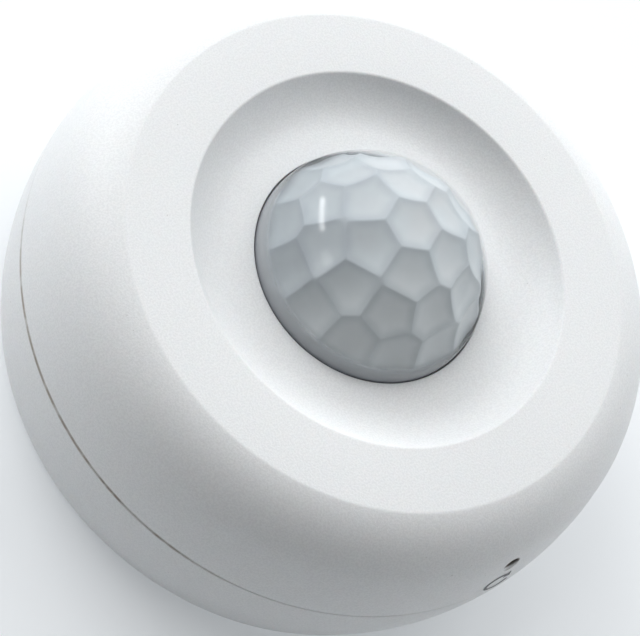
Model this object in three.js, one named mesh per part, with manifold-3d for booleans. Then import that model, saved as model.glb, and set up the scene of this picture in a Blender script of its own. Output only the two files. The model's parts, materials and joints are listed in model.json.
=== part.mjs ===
// Battery-powered ceiling motion sensor: a round white housing with a dished front,
// a faceted dome lens in the dish, and a bayonet bracket on its back.
// Millimetres, +Z out of the ceiling through the lens, origin at the middle of the
// bracket's back face. The reset pinhole faces -Y.
import * as THREE from 'three';
import { mergeVertices } from 'three/addons/utils/BufferGeometryUtils.js';
import Module from 'manifold-3d';

const wasm = await Module();
wasm.setup();

// ---------- driving dimensions ----------

const ROUND = 48; // steps round the housing
const GAP = 0.3; // clearance between neighbouring pieces
const WALL = 2; // moulded wall

// Outline of the body
const MAX_R = 46.95; // widest radius
const WIDEST_Z = 15.2; // height of the widest radius
const BACK_Z = 0.5; // the housing stops this far short of the ceiling
const SEAM_Z = 17.6; // middle of the line between cover and housing
const FACE_Z = 35.3; // flat front face
const UPPER_SIDE_R = 50; // side arc above the widest radius
const LOWER_SIDE_R = 47.5; // side arc below it
const SHOULDER_R = 11; // between the side and the face
const FACE_EDGE_DEG = 74; // slope at which the shoulder meets the face in a crease
const BACK_EDGE_R = 1.5; // between the side and the back

// Dish in the face, and the dome lens in it
const RIM_R = 28.5; // edge of the dish
const RIM_EDGE = 0.4; // broken edge at the rim
const DISH_ARC_R = 8; // arc from the dish's floor to its rim
const DISH_Z = 30.85; // flat floor of the dish
const DOME_R = 17.46;
const DOME_Z = 28.8; // centre of the dome
const DOME_WALL = 1.1;
const LENS_HOLE_R = 17.8; // hole in the dish
const FLANGE_R = 21; // lens flange, under the dish
const FLANGE_T = 1.1;

// Lap joint between the cover and the rear housing
const SPIGOT_OUT_R = 44.7;
const SPIGOT_IN_R = 43.2;
const SPIGOT_TOP = 21.8;
const KEY_ANGLES = [90, 210, 330];
const KEY_W = 2.4;

// Back of the rear housing, and the bracket in it
const POCKET_R = 37.2;
const FLOOR_LOW = 5.5;
const FLOOR_TOP = FLOOR_LOW + WALL;
const TROUGH_Z = BACK_Z + WALL;
const BAYONET_ANGLES = [30, 150, 270];
const LUG_HALF_ANGLE = 8;
const BRACKET_R = 33;
const BRACKET_T = 2.2;
const BRACKET_HOLE_R = 9;
const SLOT_X = 22;
const SLOT_W = 5;
const SLOT_L = 12;
const LEDGE_LOW = 0.9;
const LEDGE_T = 1.4;
const LUG_LOW = LEDGE_LOW + LEDGE_T + GAP;
const LUG_T = 1.4;

// Circuit board on its three bosses
const BOARD_R = 40.5;
const BOARD_Z = 22;
const BOARD_T = 1.6;
const BOARD_TOP = BOARD_Z + BOARD_T;
const BOARD_CUT_Y = 15.6; // straight edge beside the battery
const BOSS_R = 3.2;
const BOSS_CIRCLE_R = 34.5;
const BOSS_ANGLES = [15, 165, 285];
const BOARD_SCREW_R = 1.15;
const PARTS_Z = BOARD_TOP + GAP; // underside of what is fitted on the board

// Lens retainer and its screws
const RETAINER_TOP = DISH_Z - WALL - GAP - FLANGE_T - GAP;
const RETAINER_T = 1.5;
const RETAINER_IN_R = 16.6;
const RETAINER_OUT_R = 22.6;
const EAR_CIRCLE_R = 25;
const EAR_R = 3;
const EAR_ANGLES = [30, 150, 270];
const RETAINER_SCREW_R = 1;

// Reset switch behind its pinhole
const RESET_Z = 26.5;
const PINHOLE_R = 1.15;
const RESET_TRAVEL = 0.3;

// Tamper switch under the cover's post
const TAMPER_X = -9.5;
const TAMPER_Y = -34;

// Battery cell, lying along X beside the board
const CELL_R = 8.5;
const CELL_Y = 26.6;
const CELL_Z = 18;
const CELL_X0 = -14.8;
const CELL_X1 = 18.8;
const NUB_X1 = 19.7;
const HOLDER_HALF_X = 22;
const HOLDER_WALL = 1.4;
const HOLDER_Z = FLOOR_TOP + GAP;

// ---------- making and joining solids ----------

const rad = THREE.MathUtils.degToRad;

// One set of shared corners, without the triangles that collapse on an axis.
function closed(geometry) {
  geometry.deleteAttribute('normal');
  geometry.deleteAttribute('uv');
  const merged = mergeVertices(geometry, 1e-4);
  const corners = merged.index.array;
  const kept = [];
  for (let i = 0; i < corners.length; i += 3) {
    const [a, b, c] = [corners[i], corners[i + 1], corners[i + 2]];
    if (a !== b && b !== c && c !== a) kept.push(a, b, c);
  }
  merged.setIndex(kept);
  return merged;
}

function toSolid(geometry) {
  const merged = closed(geometry);
  const vertProperties = new Float32Array(merged.attributes.position.array);
  const triVerts = new Uint32Array(merged.index.array);
  return new wasm.Manifold(new wasm.Mesh({ numProp: 3, vertProperties, triVerts }));
}

function toGeometry(solid) {
  const mesh = solid.getMesh();
  const geometry = new THREE.BufferGeometry();
  const corners = new Float32Array(mesh.vertProperties);
  geometry.setAttribute('position', new THREE.BufferAttribute(corners, 3));
  geometry.setIndex(new THREE.BufferAttribute(new Uint32Array(mesh.triVerts), 1));
  return geometry;
}

function join(...geometries) {
  return toGeometry(geometries.map(toSolid).reduce((whole, next) => whole.add(next)));
}

function cut(base, ...tools) {
  return toGeometry(tools.map(toSolid).reduce((left, tool) => left.subtract(tool), toSolid(base)));
}

// Points [radius, z], anticlockwise with radius to the right, turned about Z.
function lathe(profile, steps = ROUND) {
  const points = profile.map(([r, z]) => new THREE.Vector2(r, z));
  return new THREE.LatheGeometry(points, steps).rotateX(Math.PI / 2);
}

function arc(centreR, centreZ, radius, fromDeg, toDeg, steps) {
  const points = [];
  for (let i = 0; i <= steps; i++) {
    const angle = rad(fromDeg + ((toDeg - fromDeg) * i) / steps);
    points.push([centreR + radius * Math.cos(angle), centreZ + radius * Math.sin(angle)]);
  }
  return points;
}

function upright(radius, z0, z1, x = 0, y = 0, steps = 20) {
  const rod = new THREE.CylinderGeometry(radius, radius, z1 - z0, steps);
  return rod.rotateX(Math.PI / 2).translate(x, y, (z0 + z1) / 2);
}

function rodAlongX(radius, x0, x1, y, z, steps = 20) {
  const rod = new THREE.CylinderGeometry(radius, radius, x1 - x0, steps);
  return rod.rotateZ(-Math.PI / 2).translate((x0 + x1) / 2, y, z);
}

function rodAlongY(radius, y0, y1, x, z, steps = 16) {
  const rod = new THREE.CylinderGeometry(radius, radius, y1 - y0, steps);
  return rod.translate(x, (y0 + y1) / 2, z);
}

function block(x0, x1, y0, y1, z0, z1) {
  const box = new THREE.BoxGeometry(x1 - x0, y1 - y0, z1 - z0);
  return box.translate((x0 + x1) / 2, (y0 + y1) / 2, (z0 + z1) / 2);
}

function prism(shape, z0, z1, curveSegments = 8) {
  const options = { depth: z1 - z0, bevelEnabled: false, curveSegments };
  return new THREE.ExtrudeGeometry(shape, options).translate(0, 0, z0);
}

// Part of a ring between two radii and two angles in degrees.
function sector(r0, r1, fromDeg, toDeg, z0, z1) {
  const shape = new THREE.Shape();
  shape.absarc(0, 0, r1, rad(fromDeg), rad(toDeg), false);
  shape.absarc(0, 0, r0, rad(toDeg), rad(fromDeg), true);
  return prism(shape, z0, z1, 5);
}

function slot(x, y, width, length, z0, z1) {
  const half = (length - width) / 2;
  const shape = new THREE.Shape();
  shape.absarc(x, y + half, width / 2, 0, Math.PI, false);
  shape.absarc(x, y - half, width / 2, Math.PI, 2 * Math.PI, false);
  return prism(shape, z0, z1, 8);
}

function onCircle(radius, degrees) {
  return [radius * Math.cos(rad(degrees)), radius * Math.sin(rad(degrees))];
}

// A round wire along a curve.
function wire(curve, radius, steps, sides = 6) {
  const section = new THREE.Shape();
  section.absarc(0, 0, radius, 0, 2 * Math.PI, false);
  const options = { steps, bevelEnabled: false, extrudePath: curve, curveSegments: sides };
  return new THREE.ExtrudeGeometry(section, options);
}

// ---------- outline of the body ----------

// The shoulder runs smoothly into the side arc and meets the face in a crease, at any depth below them.
function bodyOutline(depth) {
  const sideR = MAX_R - UPPER_SIDE_R;
  const between = UPPER_SIDE_R - SHOULDER_R;
  const shoulderZ = FACE_Z - SHOULDER_R * Math.sin(rad(FACE_EDGE_DEG));
  const rise = shoulderZ - WIDEST_Z;
  const shoulderR = sideR + Math.sqrt(between ** 2 - rise ** 2);
  const joinDeg = THREE.MathUtils.radToDeg(Math.asin(rise / between));
  const upper = (fromZ, steps) => {
    const fromDeg = THREE.MathUtils.radToDeg(Math.asin((fromZ - WIDEST_Z) / (UPPER_SIDE_R - depth)));
    return arc(sideR, WIDEST_Z, UPPER_SIDE_R - depth, fromDeg, joinDeg, steps);
  };
  const topDeg = THREE.MathUtils.radToDeg(Math.asin((FACE_Z - depth - shoulderZ) / (SHOULDER_R - depth)));
  const shoulder = (steps) => arc(shoulderR, shoulderZ, SHOULDER_R - depth, joinDeg, topDeg, steps);
  const lower = (fromZ, steps) => {
    const radius = LOWER_SIDE_R - depth;
    const fromDeg = THREE.MathUtils.radToDeg(Math.asin((fromZ - WIDEST_Z) / radius));
    return arc(MAX_R - LOWER_SIDE_R, WIDEST_Z, radius, fromDeg, 0, steps);
  };
  return { upper, shoulder, lower };
}

function backEdge() {
  const between = LOWER_SIDE_R - BACK_EDGE_R;
  const edgeZ = BACK_Z + BACK_EDGE_R;
  const edgeR = MAX_R - LOWER_SIDE_R + Math.sqrt(between ** 2 - (WIDEST_Z - edgeZ) ** 2);
  const joinDeg = -THREE.MathUtils.radToDeg(Math.asin((WIDEST_Z - edgeZ) / between));
  return arc(edgeR, edgeZ, BACK_EDGE_R, -90, joinDeg, 3);
}

// ---------- ceiling bracket ----------

function ceilingBracket() {
  const plate = upright(BRACKET_R, 0, BRACKET_T, 0, 0, ROUND);
  const stiffener = lathe([
    [29.4, BRACKET_T - 0.5],
    [30.8, BRACKET_T - 0.5],
    [30.8, BRACKET_T + 1],
    [29.4, BRACKET_T + 1],
    [29.4, BRACKET_T - 0.5],
  ]);
  const lugs = BAYONET_ANGLES.flatMap((angle) => [
    sector(31.2, 33.4, angle - LUG_HALF_ANGLE, angle + LUG_HALF_ANGLE, 1, LUG_LOW + LUG_T),
    sector(31.2, 36.6, angle - LUG_HALF_ANGLE, angle + LUG_HALF_ANGLE, LUG_LOW, LUG_LOW + LUG_T),
  ]);
  const slots = [-SLOT_X, SLOT_X].map((x) => slot(x, 0, SLOT_W, SLOT_L, -1, 4));
  const pilots = [-SLOT_X, SLOT_X].map((y) => upright(2.25, -1, 4, 0, y, 16));
  const hole = upright(BRACKET_HOLE_R, -1, 4, 0, 0, 32);
  return cut(join(plate, stiffener, ...lugs), hole, ...slots, ...pilots);
}

// ---------- rear housing ----------

function rearShell() {
  const outside = bodyOutline(0);
  const inside = bodyOutline(WALL);
  const topDeg = THREE.MathUtils.radToDeg(Math.asin((SEAM_Z - GAP / 2 - WIDEST_Z) / UPPER_SIDE_R));
  const lowerStep = 13; // the wall is plain below this height and carries the spigot above it
  return lathe([
    [0, FLOOR_LOW],
    [POCKET_R, FLOOR_LOW],
    [POCKET_R, BACK_Z],
    ...backEdge(),
    ...outside.lower(4.4, 3),
    ...arc(MAX_R - UPPER_SIDE_R, WIDEST_Z, UPPER_SIDE_R, topDeg / 2, topDeg, 1),
    [SPIGOT_OUT_R, SEAM_Z - GAP / 2],
    [SPIGOT_OUT_R, SPIGOT_TOP],
    [SPIGOT_IN_R, SPIGOT_TOP],
    [SPIGOT_IN_R, lowerStep + 1.8],
    ...inside.lower(TROUGH_Z + 0.8, 3).reverse().filter(([, z]) => z < lowerStep),
    [42.4, TROUGH_Z],
    [POCKET_R + WALL, TROUGH_Z],
    [POCKET_R + WALL, FLOOR_TOP],
    [0, FLOOR_TOP],
  ]);
}

function rearHousing() {
  const additions = [];
  const cuts = [];
  for (const angle of BAYONET_ANGLES) {
    const [from, to] = [angle - LUG_HALF_ANGLE, angle + LUG_HALF_ANGLE];
    additions.push(sector(34.6, POCKET_R + 1, from, to, LEDGE_LOW, LEDGE_LOW + LEDGE_T));
    additions.push(sector(34.6, POCKET_R + 1, to + 0.7, to + 3, LEDGE_LOW, FLOOR_LOW + 1));
  }
  for (const angle of BOSS_ANGLES) {
    const [x, y] = onCircle(BOSS_CIRCLE_R, angle);
    additions.push(upright(BOSS_R, FLOOR_TOP - 1, BOARD_Z - GAP, x, y, 20));
    cuts.push(upright(BOARD_SCREW_R + GAP, BOARD_Z - 9, BOARD_Z + 1, x, y, 12));
  }
  for (const angle of KEY_ANGLES) {
    const notch = block(SPIGOT_IN_R - 1, SPIGOT_OUT_R + 0.1, -KEY_W / 2 - 0.4, KEY_W / 2 + 0.4, SEAM_Z, 23);
    cuts.push(notch.rotateZ(rad(angle)));
  }
  return cut(join(rearShell(), ...additions), ...cuts);
}

// ---------- front cover ----------

function coverShell() {
  const outside = bodyOutline(0);
  const inside = bodyOutline(WALL);
  const edgeZ = SEAM_Z + GAP / 2;
  const rebateR = SPIGOT_OUT_R + GAP;
  const rebateTop = SPIGOT_TOP + GAP;
  const dishR = RIM_R - Math.sqrt(DISH_ARC_R ** 2 - (DISH_Z + DISH_ARC_R - FACE_Z) ** 2);
  const dishCentreZ = DISH_Z + DISH_ARC_R;
  const rimDeg = -THREE.MathUtils.radToDeg(Math.asin((dishCentreZ - FACE_Z + RIM_EDGE) / DISH_ARC_R));
  const underArcR = DISH_ARC_R + WALL;
  const underDeg = -THREE.MathUtils.radToDeg(Math.asin((dishCentreZ - FACE_Z + WALL) / underArcR));
  return lathe([
    [rebateR, edgeZ],
    ...outside.upper(edgeZ, 5),
    ...outside.shoulder(5).slice(1),
    [RIM_R + RIM_EDGE, FACE_Z],
    ...arc(dishR, dishCentreZ, DISH_ARC_R, rimDeg, -90, 5),
    [LENS_HOLE_R, DISH_Z],
    [LENS_HOLE_R, DISH_Z - WALL],
    ...arc(dishR, dishCentreZ, underArcR, -90, underDeg, 4),
    ...inside.shoulder(3).reverse(),
    ...inside.upper(rebateTop, 3).reverse().slice(1),
    [rebateR, rebateTop],
    [rebateR, edgeZ],
  ]);
}

function frontCover() {
  const additions = [];
  const cuts = [];
  const edgeZ = SEAM_Z + GAP / 2;
  for (const angle of KEY_ANGLES) {
    const key = block(SPIGOT_IN_R + GAP, 45.6, -KEY_W / 2, KEY_W / 2, edgeZ + 0.4, SPIGOT_TOP + 1);
    additions.push(key.rotateZ(rad(angle)));
  }
  for (const angle of EAR_ANGLES) {
    const [x, y] = onCircle(EAR_CIRCLE_R, angle);
    additions.push(upright(EAR_R, RETAINER_TOP + GAP, DISH_Z - 0.8, x, y, 18));
    cuts.push(upright(RETAINER_SCREW_R + GAP, RETAINER_TOP, DISH_Z - 0.6, x, y, 12));
  }
  const postLow = PARTS_Z + 6.3 + GAP;
  additions.push(upright(2.6, postLow, FACE_Z - WALL + 0.5, TAMPER_X, TAMPER_Y, 16));
  cuts.push(rodAlongY(PINHOLE_R, -MAX_R, -40, 0, RESET_Z, 16));
  return cut(join(coverShell(), ...additions), ...cuts);
}

// ---------- lens and retainer ----------

function fresnelLens() {
  const innerR = DOME_R - DOME_WALL;
  const flangeTop = DISH_Z - WALL - GAP;
  const flangeLow = flangeTop - FLANGE_T;
  return lathe(
    [
      [innerR, flangeLow],
      [FLANGE_R, flangeLow],
      [FLANGE_R, flangeTop],
      [DOME_R, flangeTop],
      ...arc(0, DOME_Z, DOME_R, 0, 90, 8),
      ...arc(0, DOME_Z, innerR, 90, 0, 7),
      [innerR, flangeLow],
    ],
    36,
  );
}

function lensRetainer() {
  const low = RETAINER_TOP - RETAINER_T;
  const ring = lathe(
    [
      [RETAINER_IN_R, low],
      [RETAINER_OUT_R, low],
      [RETAINER_OUT_R, RETAINER_TOP],
      [RETAINER_IN_R, RETAINER_TOP],
      [RETAINER_IN_R, low],
    ],
    48,
  );
  const places = EAR_ANGLES.map((angle) => onCircle(EAR_CIRCLE_R, angle));
  const ears = places.map(([x, y]) => upright(EAR_R, low, RETAINER_TOP, x, y, 20));
  const holes = places.map(([x, y]) => upright(RETAINER_SCREW_R + GAP, low - 1, RETAINER_TOP + 1, x, y, 12));
  return cut(join(ring, ...ears), ...holes);
}

// Pan head at the z0 end of the shank; z0 is above z1 on a screw driven downwards.
function screw(x, y, headZ, tipZ, shankR, headR) {
  const down = Math.sign(tipZ - headZ);
  const headT = headR * 0.62;
  const under = headZ + down * headT;
  const head = upright(headR, Math.min(headZ, under), Math.max(headZ, under), x, y, 18);
  const shankFrom = under - down * 0.2;
  const shank = upright(shankR, Math.min(shankFrom, tipZ), Math.max(shankFrom, tipZ), x, y, 12);
  const recessTo = headZ + down * headT * 0.6;
  const [z0, z1] = [Math.min(headZ - down, recessTo), Math.max(headZ - down, recessTo)];
  const bar = headR * 0.62;
  const slit = headR * 0.14;
  const cross = [
    block(x - bar, x + bar, y - slit, y + slit, z0, z1),
    block(x - slit, x + slit, y - bar, y + bar, z0, z1),
  ];
  return cut(join(head, shank), ...cross);
}

// ---------- circuit board and what is fitted on it ----------

function mainBoard() {
  const outline = new THREE.Shape();
  const edgeAngle = Math.asin(BOARD_CUT_Y / BOARD_R);
  outline.absarc(0, 0, BOARD_R, Math.PI - edgeAngle, 2 * Math.PI + edgeAngle, false);
  const board = prism(outline, BOARD_Z, BOARD_TOP, 44);
  const holes = BOSS_ANGLES.map((angle) => {
    const [x, y] = onCircle(BOSS_CIRCLE_R, angle);
    return upright(BOARD_SCREW_R + GAP, BOARD_Z - 1, BOARD_TOP + 1, x, y, 12);
  });
  const leadHoles = sensorLeadPlaces().map(([x, y]) => upright(0.6, BOARD_Z - 1, BOARD_TOP + 1, x, y, 8));
  return cut(board, ...holes, ...leadHoles);
}

function sensorLeadPlaces() {
  return [45, 135, 270].map((angle) => onCircle(2.54, angle));
}

const SENSOR_LOW = 25.3;
const SENSOR_TOP = 29.5;
const WINDOW_X = 2.1;
const WINDOW_Y = 1.6;
const WINDOW_DEEP = 0.6;

function pirSensor() {
  const can = lathe(
    [
      [0, SENSOR_LOW],
      [4.6, SENSOR_LOW],
      [4.6, SENSOR_LOW + 0.5],
      [4.1, SENSOR_LOW + 0.6],
      [4.1, SENSOR_TOP - 0.3],
      [3.8, SENSOR_TOP],
      [0, SENSOR_TOP],
    ],
    28,
  );
  const leads = sensorLeadPlaces().map(([x, y]) => upright(0.25, BOARD_Z - 1, SENSOR_LOW + 0.2, x, y, 8));
  const pocket = block(-WINDOW_X, WINDOW_X, -WINDOW_Y, WINDOW_Y, SENSOR_TOP - WINDOW_DEEP, SENSOR_TOP + 1);
  return cut(join(can, ...leads), pocket);
}

function pirWindow() {
  const [x, y] = [WINDOW_X - 0.15, WINDOW_Y - 0.15];
  return block(-x, x, -y, y, SENSOR_TOP - WINDOW_DEEP + 0.15, SENSOR_TOP - 0.1);
}

function pirSpacer() {
  const low = PARTS_Z;
  const top = SENSOR_LOW - GAP;
  return lathe([[3.3, low], [4.9, low], [4.9, top], [3.3, top], [3.3, low]], 28);
}

function statusLed() {
  return lathe(
    [
      [0, PARTS_Z],
      [1.9, PARTS_Z],
      [1.9, PARTS_Z + 0.9],
      [1.5, PARTS_Z + 0.9],
      ...arc(0, PARTS_Z + 3, 1.5, 0, 90, 4),
    ],
    16,
  ).translate(-8.6, 1.2, 0);
}

const RADIO = { x0: -36, x1: -24, y0: -15, y1: 1, boardTop: PARTS_Z + 0.8 };

function radioBoard() {
  return block(RADIO.x0, RADIO.x1, RADIO.y0, RADIO.y1, PARTS_Z, RADIO.boardTop);
}

function radioShield() {
  const low = RADIO.boardTop + GAP;
  const body = block(RADIO.x0 + 1, RADIO.x1 - 1, RADIO.y0 + 1, RADIO.y1 - 5, low, low + 2);
  const inner = block(RADIO.x0 + 1.3, RADIO.x1 - 1.3, RADIO.y0 + 1.3, RADIO.y1 - 5.3, low - 1, low + 1.7);
  return cut(body, inner);
}

class Coil extends THREE.Curve {
  constructor(radius0, radius1, length, turns) {
    super();
    Object.assign(this, { radius0, radius1, length, turns });
  }

  getPoint(t, target = new THREE.Vector3()) {
    const angle = 2 * Math.PI * this.turns * t;
    const radius = this.radius0 + (this.radius1 - this.radius0) * t;
    return target.set(this.length * t, radius * Math.cos(angle), radius * Math.sin(angle));
  }
}

function antennaCoil() {
  const [radius, length, turns] = [2, 13, 6];
  const coil = wire(new Coil(radius, radius, length, turns), 0.4, 60, 3);
  const [x, y] = onCircle(36.4, 228);
  return coil.translate(-length / 2, 0, 0).rotateZ(rad(228 + 90)).translate(x, y, PARTS_Z + 2.5);
}

function microcontroller() {
  return block(12.5, 19.5, -24.5, -17.5, PARTS_Z, PARTS_Z + 1.2);
}

function capacitor(x, y, radius, height) {
  const low = PARTS_Z;
  const neck = radius - 0.35;
  return lathe(
    [
      [0, low],
      [radius, low],
      [radius, low + 0.9],
      [neck, low + 1.2],
      [radius, low + 1.5],
      [radius, low + height - 0.4],
      [radius - 0.4, low + height],
      [0, low + height],
    ],
    20,
  ).translate(x, y, 0);
}

function resetSwitch() {
  const body = block(-3, 3, -39.6, -36, PARTS_Z, PARTS_Z + 5);
  const well = rodAlongY(1.3 + GAP, -41, -37.4, 0, RESET_Z);
  return cut(body, well);
}

function resetPlunger() {
  return rodAlongY(1.3, -42.3, -37.4 - GAP - RESET_TRAVEL, 0, RESET_Z);
}

function tamperSwitch() {
  const body = block(TAMPER_X - 3, TAMPER_X + 3, TAMPER_Y - 3, TAMPER_Y + 3, PARTS_Z, PARTS_Z + 3.6);
  return cut(body, upright(1.7 + GAP, PARTS_Z + 1, PARTS_Z + 5, TAMPER_X, TAMPER_Y, 16));
}

function tamperPlunger() {
  return upright(1.7, PARTS_Z + 1 + GAP, PARTS_Z + 6.3, TAMPER_X, TAMPER_Y, 16);
}

const DIP = { x: 32, y: -4, halfX: 3.1, halfY: 2.9, height: 2.5, pitch: 2.54, travel: 1.2 };
const DIP_SLOT = { halfX: 1.5, halfY: 0.8, deep: 1.3 };

function dipPlaces() {
  return [DIP.y - DIP.pitch / 2, DIP.y + DIP.pitch / 2];
}

function dipSwitch() {
  const top = PARTS_Z + DIP.height;
  const [x0, x1] = [DIP.x - DIP.halfX, DIP.x + DIP.halfX];
  const body = block(x0, x1, DIP.y - DIP.halfY, DIP.y + DIP.halfY, PARTS_Z, top);
  const slots = dipPlaces().map((y) => {
    const [hx, hy] = [DIP_SLOT.halfX, DIP_SLOT.halfY];
    return block(DIP.x - hx, DIP.x + hx, y - hy, y + hy, top - DIP_SLOT.deep, top + 1);
  });
  return cut(body, ...slots);
}

// Each slider rests at the inner end of its slot and slides outwards along X.
function dipSlider(y) {
  const top = PARTS_Z + DIP.height;
  const x0 = DIP.x - DIP_SLOT.halfX + GAP;
  const x1 = DIP.x + DIP_SLOT.halfX - GAP - DIP.travel;
  const halfY = DIP_SLOT.halfY - GAP;
  return block(x0, x1, y - halfY, y + halfY, top - DIP_SLOT.deep + GAP, top + 0.9);
}

// ---------- battery ----------

function batteryHolder() {
  const [near, far] = [CELL_Y - CELL_R - GAP - HOLDER_WALL, CELL_Y + CELL_R + GAP + HOLDER_WALL];
  const floor = block(-HOLDER_HALF_X, HOLDER_HALF_X, near, far, HOLDER_Z, HOLDER_Z + 1.4);
  const sides = [
    block(-HOLDER_HALF_X, HOLDER_HALF_X, near, near + HOLDER_WALL, HOLDER_Z, CELL_Z - 2),
    block(-HOLDER_HALF_X, HOLDER_HALF_X, far - HOLDER_WALL, far, HOLDER_Z, CELL_Z - 2),
  ];
  const inner = HOLDER_HALF_X - HOLDER_WALL;
  const ends = [
    block(-HOLDER_HALF_X, -inner, near, far, HOLDER_Z, CELL_Z + 3),
    block(inner, HOLDER_HALF_X, near, far, HOLDER_Z, CELL_Z + 3),
  ];
  return join(floor, ...sides, ...ends);
}

function batteryCell() {
  const body = rodAlongX(CELL_R, CELL_X0, CELL_X1, CELL_Y, CELL_Z, 36);
  const nub = rodAlongX(3.1, CELL_X1 - 0.5, NUB_X1, CELL_Y, CELL_Z, 20);
  return join(body, nub);
}

function contactPlate(x0, x1) {
  return block(x0, x1, CELL_Y - 5, CELL_Y + 5, HOLDER_Z + 1.8, CELL_Z + 4.6);
}

function batteryPlate() {
  return contactPlate(NUB_X1 + 0.25, NUB_X1 + 0.65);
}

function batterySpring() {
  const plateX = -HOLDER_HALF_X + HOLDER_WALL + 0.25;
  const coilX = plateX + 0.3;
  const length = CELL_X0 - GAP - 0.4 - coilX;
  const coil = wire(new Coil(4.4, 2.2, length, 3), 0.4, 42, 3).translate(coilX, CELL_Y, CELL_Z);
  return join(contactPlate(plateX, plateX + 0.4), coil);
}

// From the outside of the holder's end wall up and over to the board.
function batteryLead(side) {
  const x = HOLDER_HALF_X;
  const curve = new THREE.CatmullRomCurve3([
    new THREE.Vector3(side * (x + 1), CELL_Y - 2, 19),
    new THREE.Vector3(side * (x + 2.6), CELL_Y - 4, 22.6),
    new THREE.Vector3(side * (x + 5), CELL_Y - 8, 25.4),
    new THREE.Vector3(side * (x + 6.4), 15, 26.2),
    new THREE.Vector3(side * (x + 6), 12.6, PARTS_Z + 0.2),
  ]);
  return wire(curve, 0.6, 14, 4);
}

// ---------- assembly ----------

const WHITE = { color: 0xeef0ef, roughness: 0.62, metalness: 0 };
const LENS = { color: 0xb4b9bd, roughness: 0.2, metalness: 0 };
const BOARD_GREEN = { color: 0x1f5c3a, roughness: 0.5, metalness: 0 };
const STEEL = { color: 0xb8bbbe, roughness: 0.35, metalness: 1 };
const BLACK = { color: 0x1c1d1f, roughness: 0.55, metalness: 0 };
const NATURAL = { color: 0xd9d6cc, roughness: 0.6, metalness: 0 };

const sensor = new THREE.Group();

function add(name, geometry, look) {
  const mesh = new THREE.Mesh(geometry, new THREE.MeshStandardMaterial(look));
  mesh.name = name;
  sensor.add(mesh);
}

add('ceiling_bracket', ceilingBracket(), WHITE);

add('rear_housing', rearHousing(), WHITE);
add('main_board', mainBoard(), BOARD_GREEN);
BOSS_ANGLES.forEach((angle, i) => {
  const [x, y] = onCircle(BOSS_CIRCLE_R, angle);
  const headT = 2.2 * 0.62;
  add(`board_screw_${i + 1}`, screw(x, y, BOARD_TOP + GAP + headT, BOARD_Z - 7, BOARD_SCREW_R, 2.2), STEEL);
});

add('pir_sensor', pirSensor(), STEEL);
add('pir_window', pirWindow(), BLACK);
add('pir_spacer', pirSpacer(), NATURAL);
add('status_led', statusLed(), { color: 0xc9413a, roughness: 0.25, metalness: 0 });
add('radio_board', radioBoard(), { color: 0x1a3f63, roughness: 0.5, metalness: 0 });
add('radio_shield', radioShield(), STEEL);
add('antenna_coil', antennaCoil(), { color: 0xc98a4b, roughness: 0.35, metalness: 1 });
add('microcontroller', microcontroller(), BLACK);
add('capacitor_large', capacitor(24, -26, 3.15, 7), { color: 0x2b2f3a, roughness: 0.4, metalness: 0 });
add('capacitor_small', capacitor(31, -17, 2.5, 5.4), { color: 0x2b2f3a, roughness: 0.4, metalness: 0 });

add('reset_switch', resetSwitch(), BLACK);
add('reset_plunger', resetPlunger(), BLACK);
add('tamper_switch', tamperSwitch(), BLACK);
add('tamper_plunger', tamperPlunger(), NATURAL);
add('dip_switch', dipSwitch(), { color: 0xb3322c, roughness: 0.5, metalness: 0 });
dipPlaces().forEach((y, i) => add(`dip_slider_${i + 1}`, dipSlider(y), NATURAL));

add('battery_holder', batteryHolder(), BLACK);
add('battery_cell', batteryCell(), { color: 0x3d4a57, roughness: 0.35, metalness: 0.3 });
add('battery_plate', batteryPlate(), STEEL);
add('battery_spring', batterySpring(), STEEL);
add('battery_lead_positive', batteryLead(1), { color: 0xa8251f, roughness: 0.5, metalness: 0 });
add('battery_lead_negative', batteryLead(-1), BLACK);

add('front_cover', frontCover(), WHITE);
add('fresnel_lens', fresnelLens(), LENS);
add('lens_retainer', lensRetainer(), WHITE);
EAR_ANGLES.forEach((angle, i) => {
  const [x, y] = onCircle(EAR_CIRCLE_R, angle);
  const headZ = RETAINER_TOP - RETAINER_T - GAP - 1.75 * 0.62;
  add(`retainer_screw_${i + 1}`, screw(x, y, headZ, DISH_Z - 1, RETAINER_SCREW_R, 1.75), STEEL);
});

export default sensor;
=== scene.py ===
"""Looks of the ceiling motion sensor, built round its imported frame.

Sizes are in millimetres inside the building functions and become metres in each mesh.
"""
import json
import math
import random

import bmesh
import bpy
from mathutils import Matrix, Vector

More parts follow.
